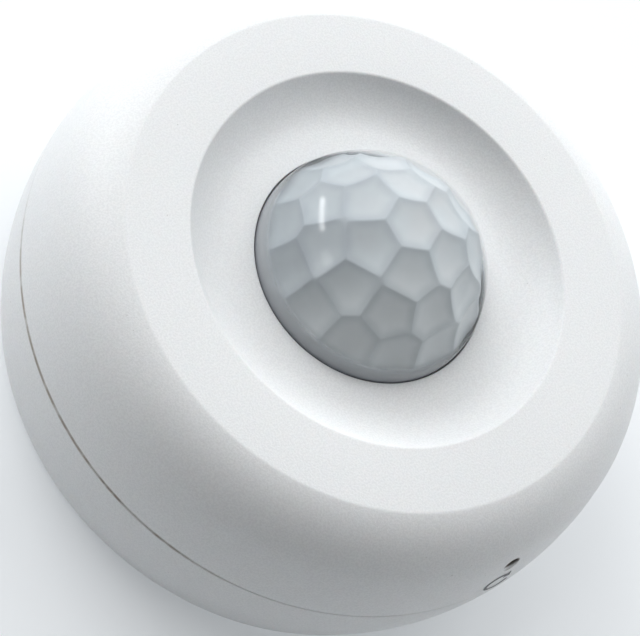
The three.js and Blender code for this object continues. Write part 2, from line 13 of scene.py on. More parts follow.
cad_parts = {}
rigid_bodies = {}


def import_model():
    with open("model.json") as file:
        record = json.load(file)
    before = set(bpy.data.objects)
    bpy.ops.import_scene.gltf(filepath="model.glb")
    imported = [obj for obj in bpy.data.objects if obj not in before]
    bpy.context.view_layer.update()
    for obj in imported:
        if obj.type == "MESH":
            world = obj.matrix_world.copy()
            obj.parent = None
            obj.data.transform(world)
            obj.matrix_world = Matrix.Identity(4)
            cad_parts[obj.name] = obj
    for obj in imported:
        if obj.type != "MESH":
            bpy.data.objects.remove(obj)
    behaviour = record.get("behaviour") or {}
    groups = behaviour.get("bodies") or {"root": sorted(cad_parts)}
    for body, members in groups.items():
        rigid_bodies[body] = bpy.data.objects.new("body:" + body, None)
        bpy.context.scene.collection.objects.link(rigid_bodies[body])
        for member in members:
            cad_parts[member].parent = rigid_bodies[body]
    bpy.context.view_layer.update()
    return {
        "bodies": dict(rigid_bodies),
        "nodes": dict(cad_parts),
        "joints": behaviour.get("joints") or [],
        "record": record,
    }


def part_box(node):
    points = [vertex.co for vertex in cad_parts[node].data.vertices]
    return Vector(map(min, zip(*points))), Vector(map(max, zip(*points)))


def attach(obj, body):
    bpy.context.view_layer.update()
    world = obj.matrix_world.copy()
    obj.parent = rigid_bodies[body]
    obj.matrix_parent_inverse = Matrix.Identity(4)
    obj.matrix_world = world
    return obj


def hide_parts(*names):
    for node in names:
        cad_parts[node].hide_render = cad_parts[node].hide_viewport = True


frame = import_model()

MM = 0.001
SLIVER = 2e-6  # metres; corners closer than this are one
SAME_POINT = 1e-7  # metres; the two rims of a tube's end cap are this close
CELL_WELD = 1e-6  # metres; corners that neighbouring lens cells share are this close
ON_AXIS = 1e-6  # millimetres; a point of an outline nearer than this lies on the axis
random.seed(7)


# ---------- places taken from the frame ----------


def box_mm(node):
    """Lowest and highest corner of a CAD node, in millimetres."""
    low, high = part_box(node)
    return low / MM, high / MM


def on_circle(radius, degrees):
    """X and Y of a point round the axis."""
    return radius * math.cos(math.radians(degrees)), radius * math.sin(math.radians(degrees))


def middle_of(low, high):
    """X, Y and Z half way between two corners."""
    return [(a + b) / 2 for a, b in zip(low, high)]


HOUSING_LOW, HOUSING_HIGH = box_mm("rear_housing")
COVER_LOW, COVER_HIGH = box_mm("front_cover")
LENS_LOW, LENS_HIGH = box_mm("fresnel_lens")
RING_LOW, RING_HIGH = box_mm("lens_retainer")
BOARD_LOW, BOARD_HIGH = box_mm("main_board")
RESET_LOW, RESET_HIGH = box_mm("reset_plunger")
TAMPER_LOW, TAMPER_HIGH = box_mm("tamper_plunger")

# ---------- driving sizes that the frame's boxes don't give ----------

ROUND = 192  # steps round the housing
GAP = 0.3  # between pieces that meet
WALL = 2
MAX_R = HOUSING_HIGH.x
WIDEST_Z = 15.2
BACK_Z = HOUSING_LOW.z
FACE_Z = COVER_HIGH.z
SEAM_Z = COVER_LOW.z - GAP / 2
SEAM_GAP = 0.06  # the open line that shows between the two halves
COVER_EDGE_Z = SEAM_Z + SEAM_GAP / 2
UPPER_SIDE_R = 50
LOWER_SIDE_R = 47.5
SHOULDER_R = 11
FACE_EDGE_ANGLE = 74  # slope at which the shoulder meets the face
BACK_EDGE_R = 1.5
RIM_R = 28.5
DISH_ARC_R = 8
DISH_Z = 30.85
LENS_HOLE_R = 17.47
DOME_Z = 28.8
DOME_R = LENS_HIGH.z - DOME_Z
FLANGE_R = LENS_HIGH.x
SPIGOT_OUT_R = 44.7
SPIGOT_IN_R = 43.2
SPIGOT_TOP = HOUSING_HIGH.z
HOUSING_EDGE_Z = SEAM_Z - SEAM_GAP / 2
POCKET_R = 37.2
FLOOR_LOW = 5.5
FLOOR_TOP = 7.5
TROUGH_Z = 2.5
KEY_ANGLES = (90, 210, 330)
KEY_W = 2.4
BAYONET_ANGLES = (30, 150, 270)
LUG_HALF_ANGLE = 8
BOSS_ANGLES = (15, 165, 285)
BOSS_PLACES = [on_circle(34.5, angle) for angle in BOSS_ANGLES]
EAR_PLACES = [on_circle(25, angle) for angle in (30, 150, 270)]
PIR_LEADS = [on_circle(2.54, angle) for angle in (45, 135, 270)]
BOARD_R = 40.5
PARTS_Z = BOARD_HIGH.z + GAP
RESET_Z = (RESET_LOW.z + RESET_HIGH.z) / 2
PINHOLE_R = 1.15
SCREW_HOLE_R = 1.45
EAR_HOLE_R = 1.3
LED_PLACE = (-8.6, 1.2)
LED_PINS = [(-9.87, 1.2), (-7.33, 1.2)]
PRINT_T = 0.03  # thickness of what is printed on the board
GUARD_RING = 4  # the ring of cells under the lens, which only gives the last ones their outline
RIDGE = "ridge"  # mark on the lens cells: 0 in the middle of a cell, 1 on the ridge around it


# ---------- outlines ----------


def arc(centre_r, centre_z, radius, start, end, steps):
    """Points [r, z] on an arc between two angles in degrees."""
    points = []
    for i in range(steps + 1):
        angle = math.radians(start + (end - start) * i / steps)
        points.append((centre_r + radius * math.cos(angle), centre_z + radius * math.sin(angle)))
    return points


def soften(points, closed=True, steps=5):
    """The outline with an arc at each corner that is given as (r, z, radius)."""
    out = []
    count = len(points)
    for i, point in enumerate(points):
        radius = point[2] if len(point) > 2 else 0
        here = Vector(point[:2])
        if radius <= 0 or (not closed and i in (0, count - 1)):
            out.append(tuple(here))
            continue
        before = (Vector(points[i - 1][:2]) - here).normalized()
        after = (Vector(points[(i + 1) % count][:2]) - here).normalized()
        half = before.angle(after) / 2
        reach = radius / math.tan(half)
        centre = here + (before + after).normalized() * radius / math.sin(half)
        first = here + before * reach - centre
        last = here + after * reach - centre
        for k in range(steps + 1):
            mix = first.lerp(last, k / steps).normalized() * radius
            out.append(tuple(centre + mix))
    return out


def side_centre():
    return MAX_R - UPPER_SIDE_R


def shoulder_centre():
    """Radius of the shoulder arc's centre, its height, and the angle where the side arc joins it."""
    between = UPPER_SIDE_R - SHOULDER_R
    centre_z = FACE_Z - SHOULDER_R * math.sin(math.radians(FACE_EDGE_ANGLE))
    rise = centre_z - WIDEST_Z
    centre_r = side_centre() + math.sqrt(between**2 - rise**2)
    return centre_r, centre_z, math.degrees(math.asin(rise / between))


def upper_side(depth, low_z, steps):
    radius = UPPER_SIDE_R - depth
    start = math.degrees(math.asin((low_z - WIDEST_Z) / radius))
    return arc(side_centre(), WIDEST_Z, radius, start, shoulder_centre()[2], steps)


def shoulder(depth, steps):
    """The shoulder arc up to the level of the face, at a depth below the surface."""
    centre_r, centre_z, join = shoulder_centre()
    radius = SHOULDER_R - depth
    top = math.degrees(math.asin((FACE_Z - depth - centre_z) / radius))
    return arc(centre_r, centre_z, radius, join, top, steps)


def lower_side(depth, low_z, steps):
    radius = LOWER_SIDE_R - depth
    start = math.degrees(math.asin((low_z - WIDEST_Z) / radius))
    return arc(MAX_R - LOWER_SIDE_R, WIDEST_Z, radius, start, 0, steps)


def back_edge(steps):
    between = LOWER_SIDE_R - BACK_EDGE_R
    edge_z = BACK_Z + BACK_EDGE_R
    drop = WIDEST_Z - edge_z
    edge_r = MAX_R - LOWER_SIDE_R + math.sqrt(between**2 - drop**2)
    return arc(edge_r, edge_z, BACK_EDGE_R, -90, -math.degrees(math.asin(drop / between)), steps)


def side_radius(z):
    """Outer radius of the cover's side at a height."""
    return side_centre() + math.sqrt(UPPER_SIDE_R**2 - (z - WIDEST_Z) ** 2)


# ---------- solids ----------


def linked(name, data):
    """An object in the scene that holds a mesh, curve, light or camera."""
    obj = bpy.data.objects.new(name, data)
    bpy.context.scene.collection.objects.link(obj)
    return obj


def make_object(name, verts, faces):
    """An object from points in millimetres."""
    mesh = bpy.data.meshes.new(name)
    mesh.from_pydata([Vector(v) * MM for v in verts], [], faces)
    return linked(name, mesh)


def turned(name, profile, steps=ROUND):
    """A solid turned about Z from points (r, z), anticlockwise with r to the right."""
    verts = []
    rings = []
    for r, z in profile:
        if r < ON_AXIS:
            rings.append([len(verts)] * steps)
            verts.append((0, 0, z))
            continue
        rings.append(list(range(len(verts), len(verts) + steps)))
        for i in range(steps):
            x, y = on_circle(r, 360 * i / steps)
            verts.append((x, y, z))
    pairs = list(zip(rings, rings[1:]))
    if profile[0][0] > ON_AXIS:
        pairs.append((rings[-1], rings[0]))
    faces = []
    for low, high in pairs:
        for i in range(steps):
            j = (i + 1) % steps
            corners = [low[i], low[j], high[j], high[i]]
            face = [c for k, c in enumerate(corners) if c != corners[k - 1]]
            if len(face) > 2:
                faces.append(face)
    return make_object(name, verts, faces)


def turned_soft(name, corners, steps=ROUND):
    """A solid turned from corners (r, z, rounding); an outline that starts on the axis ends on it."""
    return turned(name, soften(corners, closed=corners[0][0] > 0), steps)


def prism(name, outline, low_z, high_z):
    """A straight-sided solid on an anticlockwise outline in X and Y."""
    count = len(outline)
    verts = [(x, y, low_z) for x, y in outline] + [(x, y, high_z) for x, y in outline]
    faces = [list(range(count - 1, -1, -1)), list(range(count, 2 * count))]
    for i in range(count):
        j = (i + 1) % count
        faces.append([i, j, count + j, count + i])
    return make_object(name, verts, faces)


def block(name, low, high, corner=0.0):
    """A box between two corners, with its upright edges rounded."""
    corners = [(low[0], low[1]), (high[0], low[1]), (high[0], high[1]), (low[0], high[1])]
    outline = soften([(x, y, corner) for x, y in corners]) if corner else corners
    return prism(name, outline, low[2], high[2])


def rod(name, radius, low_z, high_z, edge=0.1, steps=48):
    """An upright round bar with rounded ends."""
    corners = [(0, low_z), (radius, low_z, edge), (radius, high_z, edge), (0, high_z)]
    return turned(name, soften(corners, closed=False, steps=4), steps)


def rods(places, radius, low_z, high_z, edge=0.1, steps=48):
    """Upright round bars of one size, one at each place."""
    return [moved(rod("rod", radius, low_z, high_z, edge, steps), x, y) for x, y in places]


def sector(name, inner, outer, start, end, low_z, high_z, steps=10):
    """Part of a flat ring between two angles in degrees."""
    outline = arc(0, 0, outer, start, end, steps) + arc(0, 0, inner, end, start, steps)
    return prism(name, outline, low_z, high_z)


def slot_outline(x, y, width, length):
    """A slot with round ends, its length along Y."""
    half = (length - width) / 2
    return arc(x, y + half, width / 2, 0, 180, 16) + arc(x, y - half, width / 2, 180, 360, 16)


def moved(obj, x=0.0, y=0.0, z=0.0, turn=None):
    """The object with its mesh turned and then shifted, in millimetres."""
    place = Matrix.Translation(Vector((x, y, z)) * MM)
    obj.data.transform(place @ turn if turn else place)
    return obj


def about(axis, degrees):
    return Matrix.Rotation(math.radians(degrees), 4, axis)


def worked_mesh(obj):
    """The mesh that comes out of the object's modifiers or, for a curve, its bevel."""
    graph = bpy.context.evaluated_depsgraph_get()
    return bpy.data.meshes.new_from_object(obj.evaluated_get(graph))


def settle(obj):
    """Puts the result of the object's modifiers into its mesh."""
    mesh = worked_mesh(obj)
    obj.modifiers.clear()
    old = obj.data
    obj.data = mesh
    bpy.data.meshes.remove(old)
    return obj


def cleaned(obj):
    """Takes out the slivers that a boolean or a bevel leaves."""
    mesh = bmesh.new()
    mesh.from_mesh(obj.data)
    bmesh.ops.remove_doubles(mesh, verts=mesh.verts, dist=SLIVER)
    bmesh.ops.dissolve_degenerate(mesh, edges=mesh.edges, dist=SLIVER)
    mesh.to_mesh(obj.data)
    mesh.free()
    return obj


def combine(obj, tools, operation):
    """Works tools that don't touch each other into the object, and removes them."""
    tool = merged("tool", tools)
    step = obj.modifiers.new("step", "BOOLEAN")
    step.operation = operation
    step.solver = "EXACT"
    step.object = tool
    settle(obj)
    bpy.data.objects.remove(tool)
    cleaned(obj)


def join(obj, *tools):
    combine(obj, tools, "UNION")


def cut(obj, *tools):
    combine(obj, tools, "DIFFERENCE")


def thickened(obj, thickness, offset):
    """Gives a sheet a thickness: half on each side at offset 0, all of it behind at offset -1."""
    step = obj.modifiers.new("skin", "SOLIDIFY")
    step.thickness = thickness * MM
    step.offset = offset
    return settle(obj)


def bevelled(obj, width, segments=2, angle=35):
    """Breaks the object's sharp edges."""
    step = obj.modifiers.new("bevel", "BEVEL")
    step.width = width * MM
    step.segments = segments
    step.limit_method = "ANGLE"
    step.angle_limit = math.radians(angle)
    step.harden_normals = False
    return cleaned(settle(obj))


def merged(name, objects):
    """One object holding the meshes of several."""
    whole = bmesh.new()
    for obj in objects:
        whole.from_mesh(obj.data)
    mesh = bpy.data.meshes.new(name)
    whole.to_mesh(mesh)
    whole.free()
    for obj in objects:
        bpy.data.objects.remove(obj)
    return linked(name, mesh)


def tube(name, points, radius, sides=4):
    """A round wire through points in millimetres, with closed ends."""
    curve = bpy.data.curves.new(name, "CURVE")
    curve.dimensions = "3D"
    spline = curve.splines.new("POLY")
    spline.points.add(len(points) - 1)
    for target, point in zip(spline.points, points):
        target.co = (*[c * MM for c in point], 1)
    curve.bevel_depth = radius * MM
    curve.bevel_resolution = sides
    curve.use_fill_caps = True
    carrier = linked(name, curve)
    mesh = worked_mesh(carrier)
    bpy.data.objects.remove(carrier)
    joined = bmesh.new()
    joined.from_mesh(mesh)
    bmesh.ops.remove_doubles(joined, verts=joined.verts, dist=SAME_POINT)
    bmesh.ops.recalc_face_normals(joined, faces=joined.faces)
    joined.to_mesh(mesh)
    joined.free()
    return linked(name, mesh)


def smooth_path(points, per_span=8):
    """Catmull-Rom curve through points."""
    ends = [points[0], *points, points[-1]]
    path = []
    for a, b, c, d in zip(ends, ends[1:], ends[2:], ends[3:]):
        a, b, c, d = Vector(a), Vector(b), Vector(c), Vector(d)
        for k in range(per_span):
            t = k / per_span
            path.append(0.5 * (2 * b + (c - a) * t + (2 * a - 5 * b + 4 * c - d) * t**2
                               + (3 * b - 3 * c + d - a) * t**3))
    path.append(Vector(points[-1]))
    return path


def finish_piece(obj, look, node=None, body="rear_unit", crease=32):
    """Gives a piece its material and shading, hangs it on the body it rides on, and hides the CAD node it
    stands for.
    """
    obj.data.materials.clear()
    obj.data.materials.append(look.material)
    obj.data.shade_smooth()
    obj.data.set_sharp_from_angle(angle=math.radians(crease))
    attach(obj, body)
    if node:
        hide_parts(node)


# ---------- materials ----------


class Look:
    """A Principled material put together from nodes, in the object's own coordinates.

    It also holds the name of a slot of the record, which is not used.
    """

    def __init__(self, name, slot=None):
        self.slot = slot
        self.material = bpy.data.materials.new(name)
        self.material.use_nodes = True
        self.tree = self.material.node_tree
        self.shader = self.tree.nodes["Principled BSDF"]
        self.places = self.node("ShaderNodeTexCoord").outputs["Object"]
        self.bump = None

    def feed(self, socket, value):
        """Links a socket, or sets a value, to an input."""
        if isinstance(value, bpy.types.NodeSocket):
            self.tree.links.new(value, socket)
        else:
            socket.default_value = value

    def node(self, kind, inputs=None, **settings):
        made = self.tree.nodes.new(kind)
        for key, value in settings.items():
            setattr(made, key, value)
        for key, value in (inputs or {}).items():
            self.feed(made.inputs[key], value)
        return made

    def set(self, **values):
        """Values or sockets for the shader's inputs, with _ for a space."""
        for key, value in values.items():
            self.feed(self.shader.inputs[key.replace("_", " ")], value)
        return self

    def noise(self, size, detail=2.0, rough=0.5):
        """Noise from 0 to 1 with features of about size millimetres."""
        inputs = {"Vector": self.places, "Scale": 1 / (size * MM), "Detail": detail, "Roughness": rough}
        return self.node("ShaderNodeTexNoise", inputs).outputs["Fac"]

    def band(self, value, low, high, to_low=0.0, to_high=1.0):
        """A value carried smoothly from one range to another and held at the ends."""
        inputs = {"Value": value, "From Min": low, "From Max": high, "To Min": to_low, "To Max": to_high}
        return self.node("ShaderNodeMapRange", inputs, interpolation_type="SMOOTHSTEP").outputs["Result"]

    def maths(self, operation, *values):
        inputs = dict(enumerate(values))
        return self.node("ShaderNodeMath", inputs, operation=operation).outputs[0]

    def times(self, first, *others):
        for other in others:
            first = self.maths("MULTIPLY", first, other)
        return first

    def length(self, a, b):
        """Length of the flat vector (a, b)."""
        return self.maths("POWER", self.maths("ADD", self.times(a, a), self.times(b, b)), 0.5)

    def towards(self, dx, dy):
        """How far a point lies from the axis in a level direction, in metres."""
        x, y, _ = self.axes()
        return self.maths("ADD", self.times(x, dx), self.times(y, dy))

    def blend(self, share, a, b):
        """Colour a where share is 0 and colour b where it is 1."""
        made = self.node("ShaderNodeMix", data_type="RGBA")
        for index, value in ((0, share), (6, a), (7, b)):
            self.feed(made.inputs[index], (*value, 1) if isinstance(value, tuple) else value)
        return made.outputs[2]

    def mottle(self, size, detail, low, high):
        """Roughness that wanders between two values."""
        self.set(Roughness=self.band(self.noise(size, detail), 0.3, 0.7, low, high))

    def relief(self, height, depth, strength=1.0):
        """Adds bump of a depth in millimetres."""
        inputs = {"Height": height, "Distance": depth * MM, "Strength": strength}
        if self.bump:
            inputs["Normal"] = self.bump
        self.bump = self.node("ShaderNodeBump", inputs).outputs["Normal"]
        self.set(Normal=self.bump)

    def axes(self):
        """Sockets of X, Y and Z, in metres."""
        return self.node("ShaderNodeSeparateXYZ", {"Vector": self.places}).outputs


def moulded(name, slot, dark, light, rough, patch, grain, depth, metal=0.0, **more):
    """Plastic or metal with mottled colour, uneven gloss and a fine surface grain."""
    look = Look(name, slot)
    look.set(Base_Color=look.blend(look.noise(patch, 3), dark, light), Metallic=metal)
    look.mottle(patch / 3, 4, *rough)
    look.relief(look.noise(grain, 3, 0.6), depth)
    return look.set(**more)


def spark_white():
    """White plastic with a spark-eroded grain, a few specks, painted shade along the seam and painted shade
    in the pinhole.
    """
    look = Look("spark_white", "white_plastic")
    x, y, z = look.axes()
    grain_size, speck_size, patch_size = 0.28, 0.62, 2.5
    colour = look.blend(look.noise(14, 3), (0.80, 0.811, 0.819), (0.825, 0.829, 0.827))
    grain = look.band(look.noise(grain_size, 2, 0.6), 0.35, 0.65, 0.0, 0.42)
    colour = look.blend(grain, colour, (0.66, 0.667, 0.675))
    specks = look.band(look.noise(speck_size, 1), 0.80, 0.82)
    colour = look.blend(look.times(specks, 0.45), colour, (0.38, 0.37, 0.35))

    # Painted shade along the seam between the two halves: patchy, strongest on the -X side, which the lamps
    # leave in shade, and gone by x = -33 mm.
    near_seam = look.band(look.maths("ABSOLUTE", look.maths("SUBTRACT", z, SEAM_Z * MM)),
                          0.18 * MM, 0.5 * MM, 1, 0)
    patches = look.band(look.noise(patch_size, 4), 0.38, 0.6, 0.5, 1)
    shaded_side = look.band(x, -45 * MM, -33 * MM, 1, 0.08)
    outside = look.band(look.length(x, y), (MAX_R - 0.5) * MM, (MAX_R - 0.3) * MM)
    seam_shade = look.times(near_seam, patches, shaded_side, outside)
    colour = look.blend(seam_shade, colour, (0.37, 0.33, 0.29))

    # Painted shade in the pinhole: the wall of the hole is coloured dark, where little light reaches.
    from_hole = look.length(x, look.maths("SUBTRACT", z, RESET_Z * MM))
    pinhole_shade = look.band(from_hole, (PINHOLE_R + 0.05) * MM, (PINHOLE_R + 0.3) * MM, 1, 0)
    in_front = look.band(y, -41 * MM, -40 * MM, 1, 0)
    colour = look.blend(look.times(pinhole_shade, in_front), colour, (0.13, 0.115, 0.1))

    look.set(Base_Color=colour)
    look.mottle(3, 4, 0.42, 0.56)
    look.relief(look.noise(grain_size, 3, 0.6), 0.032)
    look.relief(look.noise(5, 2), 0.03, 0.5)
    return look.set(Subsurface_Weight=0.06, Subsurface_Scale=0.002, Specular_IOR_Level=0.45)


def lens_skin():
    """The smooth outside of the lens: glossy and nearly clear over the cells, milky at the skirt, with
    painted shade darkening its foot.
    """
    look = Look("lens_skin", "milky_lens")
    height = look.axes()[2]
    skirt = look.band(height, (DISH_Z + 0.2) * MM, (DISH_Z + 4) * MM, 0.88, 0.15)
    clear = look.blend(look.noise(7, 2), (0.62, 0.66, 0.69), (0.68, 0.715, 0.735))
    # Painted shade: the lens is coloured darker towards its foot, where it meets the dish.
    shade = look.band(height, (DISH_Z - 0.6) * MM, (DISH_Z + 3) * MM, 1, 0)
    look.set(Base_Color=look.blend(shade, clear, (0.24, 0.25, 0.275)))
    look.mottle(2, 3, 0.09, 0.15)
    look.relief(look.noise(4, 2), 0.02, 0.6)
    return look.set(Alpha=skirt, Specular_IOR_Level=0.7, Coat_Weight=0.4, Coat_Roughness=0.1)


def lens_facets():
    """The moulded cells on the inside of the lens, grey-blue, with painted shade towards one side, painted
    light towards another and painted shade along the ridges.
    """
    look = Look("lens_facets", "milky_lens")
    milk = look.blend(look.band(look.noise(7, 2), 0.3, 0.7), (0.72, 0.735, 0.745), (0.70, 0.76, 0.785))
    # Painted shade: the cells are coloured darker towards (-0.86, 0.51).
    side_shade = look.band(look.towards(0.86, -0.51), -17 * MM, 4 * MM, 1, 0)
    milk = look.blend(side_shade, milk, (0.50, 0.545, 0.575))
    # Painted light: the cells are coloured lighter towards (-0.345, -0.94), standing in for light that comes
    # through the lens.
    painted_light = look.band(look.towards(-0.345, -0.94), 1 * MM, 13 * MM)
    milk = look.blend(painted_light, milk, (0.88, 0.92, 0.93))
    from_middle = look.node("ShaderNodeAttribute", attribute_name=RIDGE).outputs["Fac"]
    # Painted shade: each cell is coloured darker next to the ridges round it.
    ridge_shade = look.band(from_middle, 0.55, 1, 0, 0.34)
    look.set(Base_Color=look.blend(ridge_shade, milk, (0.30, 0.35, 0.40)))
    look.mottle(1.5, 3, 0.34, 0.46)
    look.relief(look.noise(0.8, 2), 0.01, 0.5)
    return look.set(Alpha=0.94)


def circuit_board(name, slot, mask, copper):
    """Solder mask over copper tracks, drawn as bundles of straight lines at right angles."""
    look = Look(name, slot)
    bundle, pitch = 7, 0.9  # size of a patch of tracks that run one way, and from track to track
    x, y, _ = look.axes()
    cells = look.node("ShaderNodeTexVoronoi", {"Vector": look.places, "Scale": 1 / (bundle * MM)},
                      distance="CHEBYCHEV")
    choice = look.node("ShaderNodeSeparateColor", {"Color": cells.outputs["Color"]}).outputs
    across = look.band(choice[0], 0.49, 0.51)
    line = look.node("ShaderNodeMix", {0: across, 2: x, 3: y}, data_type="FLOAT").outputs[0]
    track = look.band(look.maths("FRACT", look.times(line, 1 / (pitch * MM))), 0.42, 0.5)
    filled = look.band(choice[1], 0.45, 0.47)
    share = look.times(track, filled)
    facing = look.node("ShaderNodeTexCoord").outputs["Normal"]
    upright = look.maths("ABSOLUTE", look.node("ShaderNodeSeparateXYZ", {"Vector": facing}).outputs[2])
    flat = look.band(upright, 0.45, 0.55)
    tracks = look.blend(share, mask, copper)
    look.set(Base_Color=look.blend(flat, (0.40, 0.34, 0.17), tracks))
    look.mottle(3, 3, 0.25, 0.42)
    look.relief(share, 0.03)
    look.relief(look.noise(0.3, 2), 0.006)
    return look.set(Specular_IOR_Level=0.55)


def battery_wrap():
    """Plain shrink wrap in two colours that meet on a line round the cell."""
    look = Look("battery_wrap", "battery_wrap")
    start, end = box_mm("battery_cell")
    split = start.x + 0.3 * (end.x - start.x)
    band = look.band(look.axes()[0], split * MM, (split + 0.15) * MM)
    cool = look.blend(look.noise(5, 2), (0.16, 0.17, 0.19), (0.2, 0.21, 0.23))
    blue = look.blend(look.noise(5, 2), (0.03, 0.09, 0.19), (0.045, 0.12, 0.24))
    look.set(Base_Color=look.blend(band, cool, blue))
    look.mottle(2, 4, 0.22, 0.38)
    look.relief(look.noise(2.5, 3), 0.04, 0.6)
    return look.set(Coat_Weight=0.4, Coat_Roughness=0.15)


def capacitor_sleeve():
    """Dark shrink sleeve, glossy in patches."""
    look = Look("capacitor_sleeve", "capacitor_sleeve")
    look.set(Base_Color=look.blend(look.noise(3, 2), (0.012, 0.016, 0.03), (0.02, 0.025, 0.045)))
    look.mottle(1.5, 3, 0.22, 0.38)
    look.relief(look.noise(1.2, 2), 0.02, 0.5)
    return look


# name, slot, two colours, roughness between two values, sizes of the patches and the grain in
# millimetres, depth of the grain in millimetres, and how metallic it is
WHITE = spark_white()
WHITE_INNER = moulded("white_inner", "white_plastic", (0.70, 0.71, 0.70), (0.77, 0.775, 0.765),
                      (0.3, 0.42), 12, 0.8, 0.01)
SKIN = lens_skin()
FACETS = lens_facets()
BOARD = circuit_board("board_mask", "board_green", (0.012, 0.085, 0.035), (0.03, 0.17, 0.07))
RADIO_BOARD = circuit_board("radio_mask", "board_blue", (0.008, 0.03, 0.09), (0.02, 0.07, 0.17))
STEEL = moulded("nickel", "steel", (0.70, 0.71, 0.72), (0.78, 0.79, 0.80), (0.26, 0.34), 2, 0.15, 0.001,
                0.8)
DULL_STEEL = moulded("tinned_steel", "steel", (0.58, 0.59, 0.60), (0.67, 0.68, 0.68), (0.34, 0.46), 3,
                     0.2, 0.003, 0.8)
SOLDER = moulded("solder", "steel", (0.66, 0.67, 0.68), (0.76, 0.77, 0.77), (0.24, 0.4), 0.8, 0.3,
                 0.005, 0.8)
GOLD = moulded("gold_pad", "steel", (0.72, 0.5, 0.2), (0.82, 0.6, 0.28), (0.22, 0.36), 1.5, 0.2, 0.002, 0.8)
COPPER = moulded("enamelled_copper", "copper", (0.55, 0.24, 0.1), (0.68, 0.32, 0.14), (0.18, 0.3), 2,
                 0.3, 0.002, 0.8)
BLACK = moulded("black_plastic", "black_plastic", (0.012, 0.012, 0.013), (0.022, 0.022, 0.024),
                (0.38, 0.55), 5, 0.2, 0.012)
CHIP = moulded("chip_epoxy", "black_plastic", (0.018, 0.018, 0.02), (0.03, 0.03, 0.032), (0.5, 0.66), 2,
               0.12, 0.01)
NYLON = moulded("nylon", "natural_plastic", (0.60, 0.57, 0.49), (0.7, 0.67, 0.6), (0.35, 0.5), 3, 0.4,
                0.01, Subsurface_Weight=0.1, Subsurface_Scale=0.001)
LED = moulded("led_resin", "led_red", (0.42, 0.02, 0.012), (0.55, 0.035, 0.02), (0.08, 0.16), 1.5, 0.6,
              0.004, Transmission_Weight=0.35)
DIP_RED = moulded("dip_red", "switch_red", (0.40, 0.018, 0.012), (0.48, 0.03, 0.02), (0.38, 0.52), 3,
                  0.25, 0.012)
WRAP = battery_wrap()
SLEEVE = capacitor_sleeve()
STRIPE = moulded("sleeve_stripe", "natural_plastic", (0.5, 0.5, 0.48), (0.6, 0.6, 0.58), (0.25, 0.4), 2,
                 0.5, 0.01)
RED_WIRE = moulded("red_wire", "lead_red", (0.36, 0.015, 0.012), (0.45, 0.025, 0.02), (0.3, 0.45), 2,
                   0.4, 0.012)
BLACK_WIRE = moulded("black_wire", "lead_black", (0.01, 0.01, 0.01), (0.02, 0.02, 0.02), (0.3, 0.45), 2,
                     0.4, 0.012)
PRINT = moulded("grey_print", "black_plastic", (0.07, 0.075, 0.08), (0.11, 0.115, 0.12), (0.4, 0.55),
                0.6, 0.15, 0.004)
LEGEND = moulded("white_legend", "white_plastic", (0.68, 0.68, 0.66), (0.76, 0.76, 0.74), (0.45, 0.6),
                 1, 0.2, 0.004)
CERAMIC = moulded("ceramic_chip", "natural_plastic", (0.36, 0.25, 0.14), (0.45, 0.32, 0.2), (0.4, 0.55),
                  1, 0.2, 0.006)
RUBBER = moulded("rubber_bung", "black_plastic", (0.015, 0.015, 0.015), (0.03, 0.03, 0.03), (0.6, 0.75),
                 1, 0.2, 0.01)


# ---------- housing ----------


def rear_housing():
    wall_step = 13  # the wall is plain below this height and carries the spigot above it
    inner_wall = [p for p in reversed(lower_side(WALL, TROUGH_Z + 0.8, 24)) if p[1] < wall_step]
    shell = turned_soft("rear_housing_shell", [
        (0, FLOOR_LOW),
        (POCKET_R, FLOOR_LOW, 0.4),
        (POCKET_R, BACK_Z, 0.4),
        *back_edge(8),
        *lower_side(0, 4.4, 26),
        *arc(side_centre(), WIDEST_Z, UPPER_SIDE_R, 0.6, 2.2, 3),
        (side_radius(HOUSING_EDGE_Z), HOUSING_EDGE_Z, 0.1),
        (SPIGOT_OUT_R, HOUSING_EDGE_Z, 0.15),
        (SPIGOT_OUT_R, SPIGOT_TOP, 0.35),
        (SPIGOT_IN_R, SPIGOT_TOP, 0.35),
        (SPIGOT_IN_R, wall_step + 1.8, 0.3),
        *inner_wall,
        (42.4, TROUGH_Z, 0.5),
        (POCKET_R + WALL, TROUGH_Z, 0.5),
        (POCKET_R + WALL, FLOOR_TOP, 0.5),
        (0, FLOOR_TOP),
    ])
    additions = []
    ledge_r, outer_r, low_z = 34.6, POCKET_R + 1, 0.9
    for angle in BAYONET_ANGLES:
        start, end = angle - LUG_HALF_ANGLE, angle + LUG_HALF_ANGLE
        additions.append(sector("ledge", ledge_r, outer_r, start, end, low_z, 2.3))
        additions.append(sector("stop", ledge_r, outer_r, end + 0.7, end + 3, low_z, FLOOR_LOW + 1))
    additions += rods(BOSS_PLACES, 3.2, FLOOR_TOP - 1, BOARD_LOW.z - GAP, 0.2)
    fins = []
    for angle, (x, y) in zip(BOSS_ANGLES, BOSS_PLACES):
        for turn in (60, 180, 300):
            fin = block("fin", (2.6, -0.5, FLOOR_TOP - 1), (5.6, 0.5, 14))
            fins.append(moved(fin, x, y, turn=about("Z", angle + turn)))
    cuts = rods(BOSS_PLACES, SCREW_HOLE_R, BOARD_LOW.z - 9, BOARD_LOW.z + 1)
    half_w = KEY_W / 2 + 0.4
    for angle in KEY_ANGLES:
        notch = block("notch", (SPIGOT_IN_R - 1, -half_w, SEAM_Z), (SPIGOT_OUT_R + 0.1, half_w, 23))
        cuts.append(moved(notch, turn=about("Z", angle)))
    join(shell, *additions)
    join(shell, *fins)
    cut(shell, *cuts)
    finish_piece(shell, WHITE, "rear_housing")


